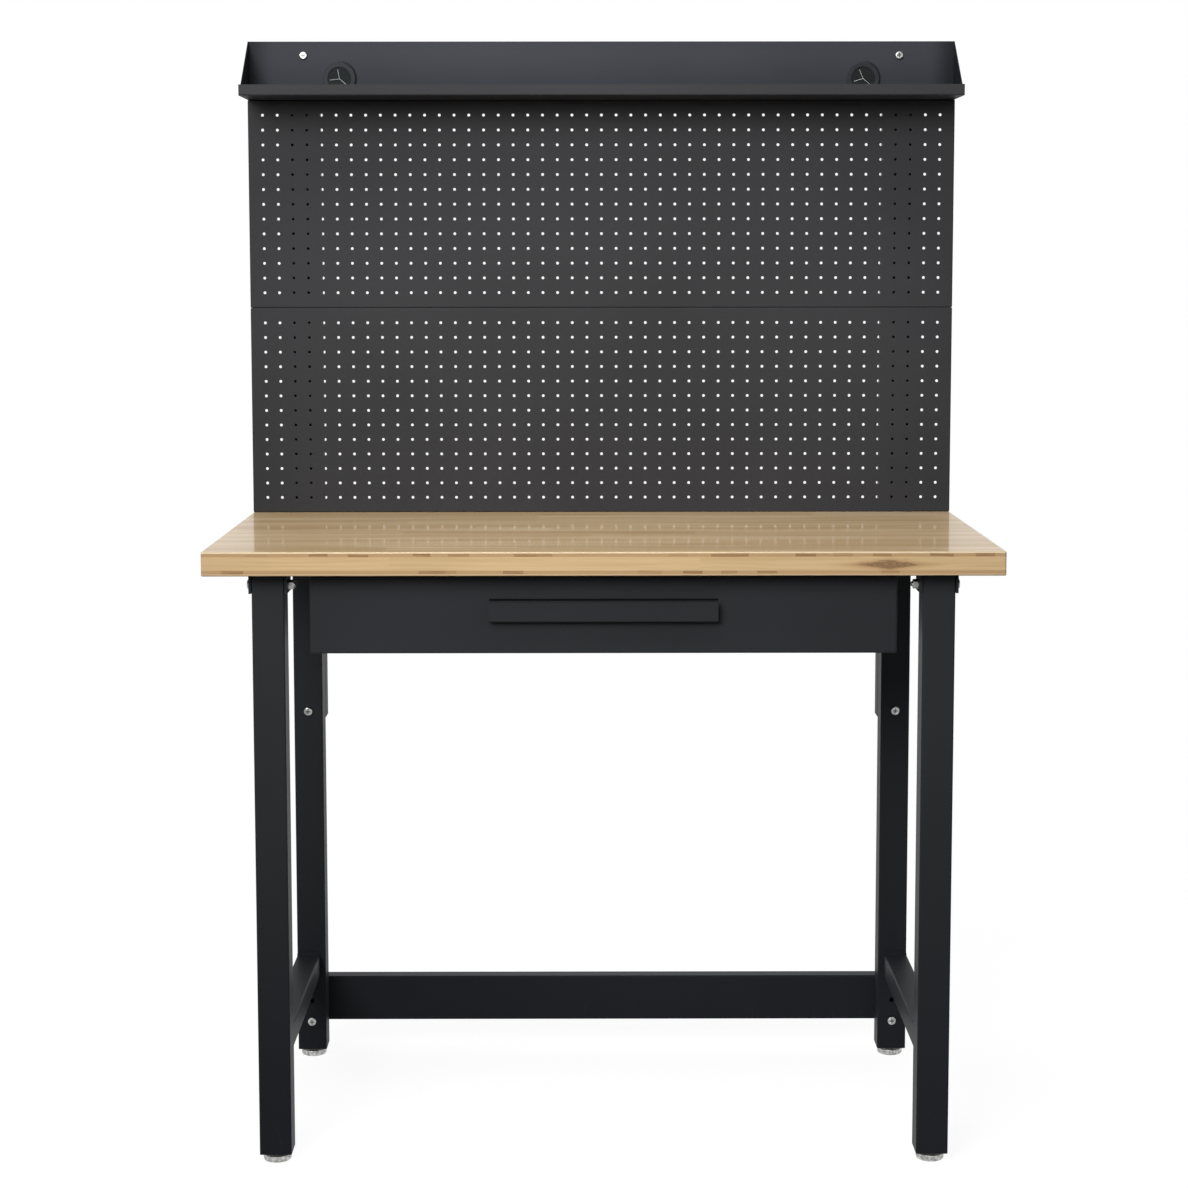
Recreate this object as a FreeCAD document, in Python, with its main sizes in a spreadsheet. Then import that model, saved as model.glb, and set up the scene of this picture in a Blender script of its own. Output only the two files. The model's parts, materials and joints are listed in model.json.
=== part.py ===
import FreeCAD, Part
import math
import os
from types import SimpleNamespace
import Sketcher

# Steel workbench with a laminated wood top, one wide drawer on telescopic
# slides, two pegboard panels on rear posts and a tool shelf above them.
# Millimetres. +X right, +Y to the back, +Z up. The origin is on the floor,
# at the centre of the footprint.

SIZES = {
    "worktop_width": 1219.2,  # also the width of the panels and the shelf
    "worktop_depth": 610.0,
    "worktop_thickness": 37.0,
    "worktop_height": 970.0,  # top surface above the floor
    "worktop_corner": 3.0,
    "worktop_edge_round": 1.6,

    "frame_width": 1078.0,  # over the outer faces of the legs
    "leg_size": 50.0,
    "leg_wall": 2.0,
    "leg_round": 3.0,
    "leg_setback": 40.0,  # from the front edge of the worktop
    "leg_lift": 15.0,  # lower leg end above the floor

    "foot_diameter": 44.0,
    "foot_disc": 10.5,
    "foot_round": 4.0,
    "foot_top_round": 1.0,
    "foot_hex_flats": 17.0,
    "foot_hex_height": 3.0,
    "foot_stem": 10.0,
    "foot_stem_length": 42.0,
    "foot_plate": 5.0,
    "foot_nut_flats": 17.0,
    "foot_nut_height": 8.0,
    "foot_plate_gap": 0.2,

    "side_rail_size": 40.0,
    "side_rail_wall": 2.0,
    "side_rail_round": 3.0,
    "side_rail_height": 147.0,  # underside above the floor
    "end_plate": 3.0,
    "end_plate_rise": 6.0,
    "end_plate_corner": 6.0,

    "rear_rail_height": 80.0,
    "rear_rail_flange": 27.0,
    "rear_rail_bottom": 53.0,  # above the floor
    "rear_rail_bolt": 13.0,  # above the rail's lower edge
    "spare_hole_rise": 37.0,  # spare hole above that bolt

    "post_depth": 40.0,
    "post_drop": 330.0,  # lower end below the worktop's underside
    "post_low_bolt": 20.5,  # above the post's lower end
    "post_high_bolt": 63.0,  # below the worktop's underside
    "post_top_gap": 10.0,  # below the top of the shelf's back
    "channel_sheet": 2.0,
    "channel_round": 3.0,

    "bracket_sheet": 4.0,
    "bracket_round": 5.0,
    "bracket_drop": 32.0,
    "bracket_gap": 0.5,
    "bracket_bolt_drop": 20.5,  # bolt axis below the worktop's underside
    "bracket_screw_spread": 24.0,

    "bolt": 8.0,
    "bolt_hole": 8.5,
    "bolt_head": 16.0,
    "bolt_head_height": 5.0,
    "bolt_nut_flats": 13.0,
    "bolt_nut_height": 6.5,
    "bolt_washer": 16.0,
    "bolt_washer_thickness": 1.6,
    "bolt_end": 3.0,  # thread beyond the nut

    "head_round_share": 0.6,  # of the height of a fastener's head
    "recess_arm_share": 0.26,  # of the head's diameter
    "recess_half_share": 0.055,  # of the head's diameter
    "recess_depth_share": 0.55,  # of the head's height
    "thread_root_share": 0.15,  # of the thread's diameter, on each side
    "tip_share": 0.125,  # of the thread's diameter

    "wood_screw": 4.5,
    "wood_screw_hole": 5.0,
    "wood_screw_head": 9.0,
    "wood_screw_head_height": 3.0,
    "wood_screw_bite": 22.0,  # length inside the worktop
    "wood_screw_room": 1.0,  # hole beyond the tip

    "panel_height": 356.7,
    "panel_pitch": 25.4,
    "peg_hole": 4.8,
    "panel_sheet": 1.2,
    "panel_depth": 15.0,
    "panel_lip": 15.0,
    "panel_round": 2.0,
    "panel_gap": 0.2,
    "panel_screw": 5.0,
    "panel_screw_hole": 5.5,
    "panel_screw_head": 10.0,
    "panel_screw_head_height": 3.0,
    "panel_nut_flats": 8.0,
    "panel_nut_height": 4.0,
    "panel_screw_end": 1.5,

    "shelf_depth": 125.0,
    "shelf_back": 100.0,
    "shelf_lip": 18.5,
    "shelf_lip_run": 24.0,  # level part of the end plate, from the front
    "shelf_sheet": 1.5,
    "shelf_round": 3.0,
    "shelf_screw_high": 76.0,
    "shelf_screw_low": 16.0,
    "shelf_screw": 6.0,
    "shelf_screw_hole": 6.5,
    "shelf_screw_head": 14.0,
    "shelf_screw_head_height": 3.6,
    "shelf_nut_flats": 10.0,
    "shelf_nut_height": 5.0,
    "shelf_screw_end": 2.0,

    "grommet_inset": 157.6,  # centre from the end of the shelf
    "grommet_rise": 36.5,  # centre above the shelf's underside
    "grommet_hole": 50.8,
    "grommet_flange": 56.0,
    "grommet_flange_thickness": 3.2,
    "grommet_round": 1.4,
    "grommet_play": 0.2,  # neck in its hole, on each side
    "grommet_neck_wall": 4.6,
    "grommet_neck_depth": 7.0,
    "grommet_seat": 0.6,
    "flap_thickness": 0.8,
    "flap_slit": 0.4,
    "flap_rim": 4.0,

    "drawer_width": 900.0,
    "drawer_front_height": 120.0,
    "drawer_front_fold": 10.0,
    "drawer_setback": 40.0,  # front face behind the worktop's front edge
    "drawer_top_gap": 4.5,
    "drawer_sheet": 1.2,
    "drawer_round": 3.0,
    "drawer_box_width": 860.0,
    "drawer_box_depth": 460.0,
    "drawer_box_height": 95.0,
    "drawer_box_rise": 6.5,  # box bottom above the front's lower edge
    "drawer_rim": 8.0,
    "drawer_fold_round": 1.4,
    "stud": 5.0,
    "stud_hole": 5.5,
    "stud_end": 2.0,
    "stud_inset": 60.0,
    "stud_rise": 20.0,

    "handle_length": 350.0,
    "handle_height": 32.0,
    "handle_depth": 15.0,
    "handle_rise": 50.0,  # lower edge above the front's lower edge
    "handle_sheet": 2.0,
    "handle_round": 3.0,
    "handle_edge_round": 0.6,
    "handle_back": 24.0,
    "handle_screw_inset": 25.0,
    "handle_screw_rise": 13.0,
    "handle_screw_end": 1.0,

    "slide_length": 450.0,
    "slide_height": 45.0,
    "slide_thickness": 12.7,
    "slide_sheet": 1.2,
    "slide_round": 1.8,
    "slide_gap": 0.4,
    "slide_start": 10.0,  # behind the front face of the drawer box
    "slide_screw": 4.0,
    "slide_screw_hole": 4.3,
    "slide_screw_head": 8.0,
    "slide_screw_head_height": 2.4,
    "slide_screw_inset": 35.0,

    "hanger_sheet": 2.0,
    "hanger_round": 3.0,
    "hanger_flange": 25.0,
    "hanger_overlap": 4.0,  # below the slide
    "hanger_clearance": 2.0,  # behind the folded edges of the drawer front

    "seat_gap": 0.3,
    "thread_gap": 0.06,
}

doc = FreeCAD.newDocument("Workbench")
sheet = doc.addObject("Spreadsheet::Sheet", "Sizes")
for row, (name, number) in enumerate(SIZES.items(), start=1):
    sheet.set(f"A{row}", name)
    sheet.set(f"B{row}", str(number))
    sheet.setAlias(f"B{row}", name)
doc.recompute()


def number_of(amount):
    return amount.number if isinstance(amount, Amount) else float(amount)


def formula_of(amount):
    return amount.formula if isinstance(amount, Amount) else repr(float(amount))


class Amount:
    # a number together with the sheet formula that it comes from

    def __init__(self, number, formula):
        self.number = number
        self.formula = formula

    def __add__(self, other):
        return Amount(self.number + number_of(other), f"({self.formula} + {formula_of(other)})")

    def __radd__(self, other):
        return self + other

    def __sub__(self, other):
        return Amount(self.number - number_of(other), f"({self.formula} - {formula_of(other)})")

    def __rsub__(self, other):
        return Amount(number_of(other) - self.number, f"({formula_of(other)} - {self.formula})")

    def __mul__(self, other):
        return Amount(self.number * number_of(other), f"({self.formula} * {formula_of(other)})")

    def __rmul__(self, other):
        return self * other

    def __truediv__(self, other):
        return Amount(self.number / number_of(other), f"({self.formula} / {formula_of(other)})")

    def __neg__(self):
        return self * -1


size = SimpleNamespace(**{name: Amount(float(sheet.get(name)), f"Sizes.{name}") for name in SIZES})

PLANES = {"x": "YZ_Plane", "y": "XZ_Plane", "z": "XY_Plane"}
SIDES = {"left": -1, "right": 1}
FLAP_SLITS = {"left": (100, 187, 320), "right": (113, 197, 320)}  # degrees, as the photo shows them
pieces = []


def bind(thing, prop, amount):
    if isinstance(amount, Amount):
        thing.setExpression(prop, amount.formula)
    else:
        setattr(thing, prop, amount)


def place(thing, x=0.0, y=0.0, z=0.0, rotation=None):
    base = FreeCAD.Vector(number_of(x), number_of(y), number_of(z))
    thing.Placement = FreeCAD.Placement(base, rotation or FreeCAD.Rotation())
    for axis, amount in (("x", x), ("y", y), ("z", z)):
        if isinstance(amount, Amount):
            thing.setExpression(f"Placement.Base.{axis}", amount.formula)
    return thing


def new_body(label, is_piece=True):
    body = doc.addObject("PartDesign::Body", label)
    body.Label = label
    if is_piece:
        pieces.append(body)
    return body


def constrain(sketch, rules):
    # each rule is a kind, what it holds, and a size where it has one
    numbers = [[] if size_of is None else [number_of(size_of)] for kind, held, size_of in rules]
    first = sketch.ConstraintCount
    sketch.addConstraint([Sketcher.Constraint(kind, *held, *number)
                          for (kind, held, size_of), number in zip(rules, numbers)])
    for index, (kind, held, size_of) in enumerate(rules, start=first):
        if isinstance(size_of, Amount):
            sketch.setExpression(f"Constraints[{index}]", size_of.formula)


def section(body, axis, start=0.0):
    # a sketch square to an axis of the body, at a distance along that axis
    sketch = body.newObject("Sketcher::SketchObject", f"{body.Label}_section")
    plane = [item for item in body.Origin.OriginFeatures if item.Role == PLANES[axis]][0]
    sketch.AttachmentSupport = [(plane, "")]
    sketch.MapMode = "FlatFace"
    along_normal = -start if axis == "y" else start
    sketch.AttachmentOffset = FreeCAD.Placement(
        FreeCAD.Vector(0, 0, number_of(along_normal)), FreeCAD.Rotation())
    if isinstance(along_normal, Amount):
        sketch.setExpression("AttachmentOffset.Base.z", along_normal.formula)
    return sketch


def outline(sketch, corners):
    # a closed outline; a corner is (x, y), or (x, y, radius) where two
    # square edges meet in a round
    rules = []
    lines = []
    for index, corner in enumerate(corners):
        following = corners[(index + 1) % len(corners)]
        lines.append(located_line(sketch, corner, following, rules))
    for index, corner in enumerate(corners):
        if len(corner) > 2:
            join_round(sketch, lines[index - 1], lines[index], corner, rules)
        else:
            rules.append(("Coincident", (lines[index - 1], 2, lines[index], 1), None))
    constrain(sketch, rules)


def located_line(sketch, begin, end, rules):
    # a line between two corners, short of each by the corner's radius
    steps = [number_of(end[axis]) - number_of(begin[axis]) for axis in (0, 1)]
    signs = [0 if abs(step) < 1e-6 else math.copysign(1, step) for step in steps]

    def short_of(corner, way):
        if len(corner) < 3:
            return corner
        return [spot if sign == 0 else spot + corner[2] * (sign * way) for spot, sign in zip(corner, signs)]

    ends = (short_of(begin, 1), short_of(end, -1))
    points = [FreeCAD.Vector(number_of(spot[0]), number_of(spot[1]), 0) for spot in ends]
    line = sketch.addGeometry(Part.LineSegment(*points), False)
    for number, spot in enumerate(ends, start=1):
        if number == 1 or len(end) > 2:
            rules.append(("DistanceX", (-1, 1, line, number), spot[0]))
            rules.append(("DistanceY", (-1, 1, line, number), spot[1]))
    return line


def join_round(sketch, line, next_line, corner, rules):
    begin, end = sketch.Geometry[line].EndPoint, sketch.Geometry[next_line].StartPoint
    centre = begin + end - FreeCAD.Vector(number_of(corner[0]), number_of(corner[1]), 0)
    angles = [math.atan2(spot.y - centre.y, spot.x - centre.x) for spot in (begin, end)]
    turns_left = (angles[1] - angles[0]) % (2 * math.pi) < math.pi
    if not turns_left:
        angles.reverse()
    ring = Part.Circle(centre, FreeCAD.Vector(0, 0, 1), number_of(corner[2]))
    arc = sketch.addGeometry(Part.ArcOfCircle(ring, *angles), False)
    near, far = (1, 2) if turns_left else (2, 1)
    rules.append(("Coincident", (line, 2, arc, near), None))
    rules.append(("Coincident", (arc, far, next_line, 1), None))
    rules.append(("Radius", (arc,), corner[2]))


def box_outline(sketch, left, right, low, high, radius=None):
    ends = [(right, high), (left, high), (left, low), (right, low)]
    outline(sketch, [end if radius is None else end + (radius,) for end in ends])


def circle(sketch, x, y, diameter):
    centre = FreeCAD.Vector(number_of(x), number_of(y), 0)
    ring = sketch.addGeometry(Part.Circle(centre, FreeCAD.Vector(0, 0, 1), number_of(diameter) / 2), False)
    constrain(sketch, [("DistanceX", (-1, 1, ring, 3), x), ("DistanceY", (-1, 1, ring, 3), y),
                       ("Diameter", (ring,), diameter)])


def pad(body, axis, sketch, length):
    feature = body.newObject("PartDesign::Pad", f"{body.Label}_pad")
    feature.Profile = sketch
    feature.Reversed = axis == "y"
    bind(feature, "Length", length)
    return feature


def pocket(body, axis, sketch, length):
    feature = body.newObject("PartDesign::Pocket", f"{body.Label}_pocket")
    feature.Profile = sketch
    feature.Reversed = axis != "y"
    bind(feature, "Length", length)
    return feature


def revolve(body, sketch):
    feature = body.newObject("PartDesign::Revolution", f"{body.Label}_turn")
    feature.Profile = sketch
    feature.ReferenceAxis = (sketch, ["V_Axis"])
    feature.Angle = 360
    return feature


def drill(body, axis, start, length, centres, diameter):
    # round holes along an axis, all through the same stretch
    sketch = section(body, axis, start)
    for x, y in centres:
        circle(sketch, x, y, diameter)
    return pocket(body, axis, sketch, length)


def round_edges(body, radius, wanted):
    # a fillet on the edges of the body so far for which wanted(edge) holds
    doc.recompute()
    base = body.Tip
    names = [f"Edge{number}" for number, edge in enumerate(base.Shape.Edges, start=1) if wanted(edge)]
    feature = body.newObject("PartDesign::Fillet", f"{body.Label}_round")
    feature.Base = (base, names)
    bind(feature, "Radius", radius)
    return feature


def level_edge_at(height):
    def wanted(edge):
        box = edge.BoundBox
        return abs(box.ZMin - height) < 1e-6 and abs(box.ZMax - height) < 1e-6
    return wanted


def lying_on(edge, low=None, high=None, axis="Y"):
    box = edge.BoundBox
    near, far = getattr(box, f"{axis}Min"), getattr(box, f"{axis}Max")
    return abs(near - low) < 1e-6 and abs(far - (low if high is None else high)) < 1e-6


def circumradius(across_flats):
    return across_flats / math.sqrt(3)


def turn_towards(x, y, z):
    # turns a fastener whose tip points to +Z
    return FreeCAD.Rotation(FreeCAD.Vector(0, 0, 1), FreeCAD.Vector(x, y, z))


def screw(name, diameter, length, head, head_height, tip=None):
    # head with a cross recess below z = 0, shank from z = 0 up to the tip
    tip = diameter * size.tip_share if tip is None else tip
    body = new_body(name, is_piece=False)
    profile = section(body, "y")
    outline(profile, [
        (0.0, -head_height),
        (head / 2, -head_height, head_height * size.head_round_share),
        (head / 2, 0.0),
        (diameter / 2, 0.0),
        (diameter / 2, length - tip),
        (diameter / 2 - diameter * size.thread_root_share, length),
        (0.0, length),
    ])
    revolve(body, profile)
    arm, half = head * size.recess_arm_share, head * size.recess_half_share
    cross = section(body, "z", -head_height)
    outline(cross, [(half, arm), (-half, arm), (-half, half), (-arm, half), (-arm, -half), (-half, -half),
                    (-half, -arm), (half, -arm), (half, -half), (arm, -half), (arm, half), (half, half)])
    pocket(body, "z", cross, head_height * size.recess_depth_share)
    return body


def nut(name, across_flats, height, bore, washer=None, washer_thickness=None):
    # seat at z = 0, with a washer under it where one is given
    hexagon = doc.addObject("Part::Prism", f"{name}_hexagon")
    hexagon.Polygon = 6
    bind(hexagon, "Circumradius", circumradius(across_flats))
    bind(hexagon, "Height", height)
    solid = hexagon
    if washer is not None:
        disc = doc.addObject("Part::Cylinder", f"{name}_washer")
        bind(disc, "Radius", washer / 2)
        bind(disc, "Height", washer_thickness)
        place(hexagon, z=washer_thickness)
        solid = doc.addObject("Part::Fuse", f"{name}_solid")
        solid.Base = disc
        solid.Tool = hexagon
    hole = doc.addObject("Part::Cylinder", f"{name}_hole")
    bind(hole, "Radius", bore / 2 + size.thread_gap)
    bind(hole, "Height", height * 3)
    place(hole, z=-height)
    result = doc.addObject("Part::Cut", name)
    result.Base = solid
    result.Tool = hole
    return result


def group(label, seed, places):
    # copies of one fastener, each with its place and the way its tip points
    copies = []
    for number, (x, y, z, rotation) in enumerate(places, start=1):
        copy = doc.addObject("App::Link", f"{label}_{number}")
        copy.LinkedObject = seed
        copy.LinkTransform = False
        copies.append(place(copy, x, y, z, rotation))
    compound = doc.addObject("Part::Compound", label)
    compound.Label = label
    compound.Links = copies
    pieces.append(compound)
    return compound


# Places that several pieces share
half_width = size.worktop_width / 2
underside = size.worktop_height - size.worktop_thickness
front_edge = -(size.worktop_depth + size.post_depth) / 2
rear_face = front_edge + size.worktop_depth
leg_x = size.frame_width / 2 - size.leg_size / 2
leg_y = {"front": front_edge + size.leg_setback + size.leg_size / 2, "rear": rear_face - size.leg_size / 2}
leg_top = underside - size.bracket_sheet - size.seat_gap
bracket_bolt_z = underside - size.bracket_bolt_drop
bracket_half = size.leg_size / 2 + size.bracket_gap + size.bracket_sheet
rear_rail_bolt_z = size.rear_rail_bottom + size.rear_rail_bolt
spare_hole_z = rear_rail_bolt_z + size.spare_hole_rise
post_bottom = underside - size.post_drop
post_bolts_z = [post_bottom + size.post_low_bolt, underside - size.post_high_bolt]
panel_bottoms = [size.worktop_height + size.seat_gap]
panel_bottoms.append(panel_bottoms[0] + size.panel_height + size.panel_gap)
shelf_bottom = panel_bottoms[1] + size.panel_height + size.seat_gap
post_top = shelf_bottom + size.shelf_back - size.post_top_gap
shelf_screws_z = [shelf_bottom + size.shelf_screw_high, shelf_bottom + size.shelf_screw_low]
panel_screws_z = [bottom + rise for bottom in panel_bottoms
                  for rise in (size.panel_lip / 2, size.panel_height - size.panel_lip / 2)]
grommet_x = half_width - size.grommet_inset
grommet_z = shelf_bottom + size.grommet_rise

drawer_face = front_edge + size.drawer_setback
drawer_top = underside - size.drawer_top_gap
drawer_bottom = drawer_top - size.drawer_front_height
box_bottom = drawer_bottom + size.drawer_box_rise
box_front = drawer_face + size.drawer_sheet
box_half = size.drawer_box_width / 2
drawer_reach = box_half - size.drawer_fold_round - size.seat_gap  # of the drawer's inner front and back
slide_middle_z = box_bottom + size.drawer_box_height / 2
slide_front = box_front + size.slide_start
hanger_x = box_half + size.slide_thickness  # inner face of the hanger
hanger_front = drawer_face + size.drawer_front_fold + size.hanger_clearance
hanger_low = slide_middle_z - size.slide_height / 2 - size.hanger_overlap
hanger_screw_x = hanger_x + size.hanger_sheet + (size.hanger_flange - size.hanger_sheet) / 2
handle_low = drawer_bottom + size.handle_rise
slide_screws_y = [slide_front + size.slide_screw_inset, slide_front + size.slide_length / 2,
                  slide_front + size.slide_length - size.slide_screw_inset]
bracket_screws_y = [leg_y[end] + half * size.bracket_screw_spread / 2
                    for end in leg_y for half in (-1, 1)]
stud_x = box_half - size.stud_inset
studs_z = [box_bottom + size.stud_rise, box_bottom + size.drawer_box_height - size.stud_rise]
handle_screws_x = [-size.handle_length / 2 + size.handle_screw_inset, 0.0,
                   size.handle_length / 2 - size.handle_screw_inset]
handle_screw_z = handle_low + size.handle_screw_rise


def make_worktop():
    body = new_body("worktop")
    plan = section(body, "z")
    box_outline(plan, -half_width, half_width, front_edge, rear_face, size.worktop_corner)
    pad(body, "z", plan, size.worktop_thickness)
    round_edges(body, size.worktop_edge_round, level_edge_at(number_of(size.worktop_thickness)))
    round_edges(body, size.worktop_edge_round, level_edge_at(0.0))
    centres = [(side * leg_x, y) for side in SIDES.values() for y in bracket_screws_y]
    centres += [(side * hanger_screw_x, y) for side in SIDES.values() for y in slide_screws_y]
    drill(body, "z", 0.0, size.wood_screw_bite + size.wood_screw_room, centres,
          size.wood_screw + size.thread_gap * 2)
    place(body, z=underside)


def make_leg(end, side_name):
    body = new_body(f"leg_{end}_{side_name}")
    half = size.leg_size / 2
    inner = half - size.leg_wall
    tube = section(body, "z")
    box_outline(tube, -half, half, -half, half, size.leg_round)
    box_outline(tube, -inner, inner, -inner, inner, size.leg_round - size.leg_wall)
    pad(body, "z", tube, leg_top - size.leg_lift)
    drill(body, "x", -half, size.leg_size, [(0.0, bracket_bolt_z - size.leg_lift)], size.bolt_hole)
    if end == "rear":
        heights = [rear_rail_bolt_z, spare_hole_z] + post_bolts_z
        drill(body, "y", -half, size.leg_size, [(0.0, z - size.leg_lift) for z in heights], size.bolt_hole)
    place(body, SIDES[side_name] * leg_x, leg_y[end], size.leg_lift)


def make_foot_plate(end, side_name):
    # threaded plate with its welded nut, flush in the lower end of the leg
    body = new_body(f"foot_plate_{end}_{side_name}")
    half = size.leg_size / 2 - size.leg_wall - size.foot_plate_gap
    plate = section(body, "z")
    box_outline(plate, -half, half, -half, half, size.leg_round - size.leg_wall)
    pad(body, "z", plate, size.foot_plate)
    hexagon = section(body, "z", size.foot_plate)
    hex_outline(hexagon, size.foot_nut_flats)
    pad(body, "z", hexagon, size.foot_nut_height)
    drill(body, "z", 0.0, size.foot_plate + size.foot_nut_height, [(0.0, 0.0)],
          size.foot_stem + size.thread_gap * 2)
    place(body, SIDES[side_name] * leg_x, leg_y[end], size.leg_lift)


def hex_outline(sketch, across_flats):
    radius = circumradius(across_flats)
    corners = [(radius * math.cos(math.radians(60 * k + 30)), radius * math.sin(math.radians(60 * k + 30)))
               for k in range(6)]
    outline(sketch, corners)


def make_levelling_foot(end, side_name):
    body = new_body(f"levelling_foot_{end}_{side_name}")
    profile = section(body, "y")
    rim = size.foot_diameter / 2
    outline(profile, [
        (0.0, 0.0),
        (rim, 0.0, size.foot_round),
        (rim, size.foot_disc, size.foot_top_round),
        (size.foot_stem / 2, size.foot_disc),
        (size.foot_stem / 2, size.foot_disc + size.foot_stem_length),
        (0.0, size.foot_disc + size.foot_stem_length),
    ])
    revolve(body, profile)
    hexagon = section(body, "z", size.foot_disc)
    hex_outline(hexagon, size.foot_hex_flats)
    pad(body, "z", hexagon, size.foot_hex_height)
    place(body, SIDES[side_name] * leg_x, leg_y[end])


def make_side_rail(side_name):
    # square tube with a plate welded on each end
    body = new_body(f"side_stretcher_{side_name}")
    side = SIDES[side_name]
    half = size.side_rail_size / 2
    inner = half - size.side_rail_wall
    length = leg_y["rear"] - leg_y["front"] - size.leg_size
    tube = section(body, "y")
    box_outline(tube, -half, half, 0.0, size.side_rail_size, size.side_rail_round)
    box_outline(tube, -inner, inner, size.side_rail_wall, size.side_rail_size - size.side_rail_wall,
                size.side_rail_round - size.side_rail_wall)
    pad(body, "y", tube, length)
    top = size.side_rail_size + size.end_plate_rise
    for start in (0.0, length - size.end_plate):
        plate = section(body, "y", start)
        outline(plate, [(half, top, size.end_plate_corner), (-half, top, size.end_plate_corner),
                        (-half, 0.0), (half, 0.0)])
        pad(body, "y", plate, size.end_plate)
    place(body, side * (size.frame_width / 2 - half), leg_y["front"] + size.leg_size / 2, size.side_rail_height)


def channel_outline(sketch, half, depth, along_depth):
    # a U of sheet metal; along_depth(a, b) gives the sketch's own order of
    # a place across the web and a place along the flanges
    wall = size.channel_sheet
    bend = size.channel_round
    corners = [(-half, 0.0, bend), (half, 0.0, bend), (half, depth), (half - wall, depth),
               (half - wall, wall, bend - wall), (-half + wall, wall, bend - wall),
               (-half + wall, depth), (-half, depth)]
    outline(sketch, [along_depth(*corner) for corner in corners])


def make_rear_rail():
    body = new_body("rear_stretcher")
    half = size.rear_rail_height / 2
    profile = section(body, "x", -size.frame_width / 2)
    channel_outline(profile, half, size.rear_rail_flange, lambda a, b, *r: (b, a, *r))
    pad(body, "x", profile, size.frame_width)
    centre = size.rear_rail_bottom + half
    holes = [(side * leg_x, z - centre) for side in SIDES.values() for z in (rear_rail_bolt_z, spare_hole_z)]
    drill(body, "y", 0.0, size.channel_sheet, holes, size.bolt_hole)
    place(body, y=rear_face, z=centre)


def make_post(side_name):
    body = new_body(f"post_{side_name}")
    profile = section(body, "z")
    channel_outline(profile, size.leg_size / 2, size.post_depth, lambda a, b, *r: (a, b, *r))
    pad(body, "z", profile, post_top - post_bottom)
    for heights, diameter in ((post_bolts_z, size.bolt_hole), (panel_screws_z, size.panel_screw_hole),
                              (shelf_screws_z, size.shelf_screw_hole)):
        drill(body, "y", 0.0, size.channel_sheet, [(0.0, z - post_bottom) for z in heights], diameter)
    place(body, SIDES[side_name] * leg_x, rear_face, post_bottom)


def make_top_bracket(end, side_name):
    # saddle over the head of the leg, screwed under the worktop
    body = new_body(f"top_bracket_{end}_{side_name}")
    half, wall, bend = bracket_half, size.bracket_sheet, size.bracket_round
    depth = size.leg_size
    profile = section(body, "y", -depth / 2)
    outline(profile, [
        (half, 0.0, bend), (half, -size.bracket_drop), (half - wall, -size.bracket_drop),
        (half - wall, -wall, bend - wall), (wall - half, -wall, bend - wall),
        (wall - half, -size.bracket_drop), (-half, -size.bracket_drop), (-half, 0.0, bend)])
    pad(body, "y", profile, depth)
    drill(body, "x", -half, half * 2, [(0.0, -size.bracket_bolt_drop)], size.bolt_hole)
    drill(body, "z", -wall, wall, [(0.0, half_step * size.bracket_screw_spread / 2) for half_step in (-1, 1)],
          size.wood_screw_hole)
    place(body, SIDES[side_name] * leg_x, leg_y[end], underside)


def make_frame_fasteners():
    through = size.leg_size + size.channel_sheet
    stack = size.bolt_washer_thickness + size.bolt_nut_height + size.bolt_end
    long_bolt = screw("frame_bolt", size.bolt, through + stack, size.bolt_head, size.bolt_head_height)
    bolt_nut = nut("bolt_nut", size.bolt_nut_flats, size.bolt_nut_height, size.bolt,
                   size.bolt_washer, size.bolt_washer_thickness)
    heights = [rear_rail_bolt_z] + post_bolts_z
    back = turn_towards(0, 1, 0)
    group("frame_bolts", long_bolt, [(side * leg_x, leg_y["rear"] - size.leg_size / 2, z, back)
                                     for side in SIDES.values() for z in heights])
    group("frame_nuts", bolt_nut, [(side * leg_x, rear_face + size.channel_sheet, z, back)
                                   for side in SIDES.values() for z in heights])

    cross_bolt = screw("bracket_bolt", size.bolt, bracket_half * 2 + stack,
                       size.bolt_head, size.bolt_head_height)
    inward = {side: turn_towards(-side, 0, 0) for side in SIDES.values()}
    group("bracket_bolts", cross_bolt, [(side * (leg_x + bracket_half), y, bracket_bolt_z, inward[side])
                                        for side in SIDES.values() for y in leg_y.values()])
    group("bracket_nuts", bolt_nut, [(side * (leg_x - bracket_half), y, bracket_bolt_z, inward[side])
                                     for side in SIDES.values() for y in leg_y.values()])


def make_wood_screws():
    up = turn_towards(0, 0, 1)
    long_screw = screw("bracket_wood_screw", size.wood_screw, size.bracket_sheet + size.wood_screw_bite,
                       size.wood_screw_head, size.wood_screw_head_height, size.wood_screw)
    group("bracket_screws", long_screw, [(side * leg_x, y, underside - size.bracket_sheet, up)
                                         for side in SIDES.values() for y in bracket_screws_y])
    short_screw = screw("hanger_wood_screw", size.wood_screw, size.hanger_sheet + size.wood_screw_bite,
                        size.wood_screw_head, size.wood_screw_head_height, size.wood_screw)
    group("hanger_screws", short_screw, [(side * hanger_screw_x, y, underside - size.hanger_sheet, up)
                                         for side in SIDES.values() for y in slide_screws_y])


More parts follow.
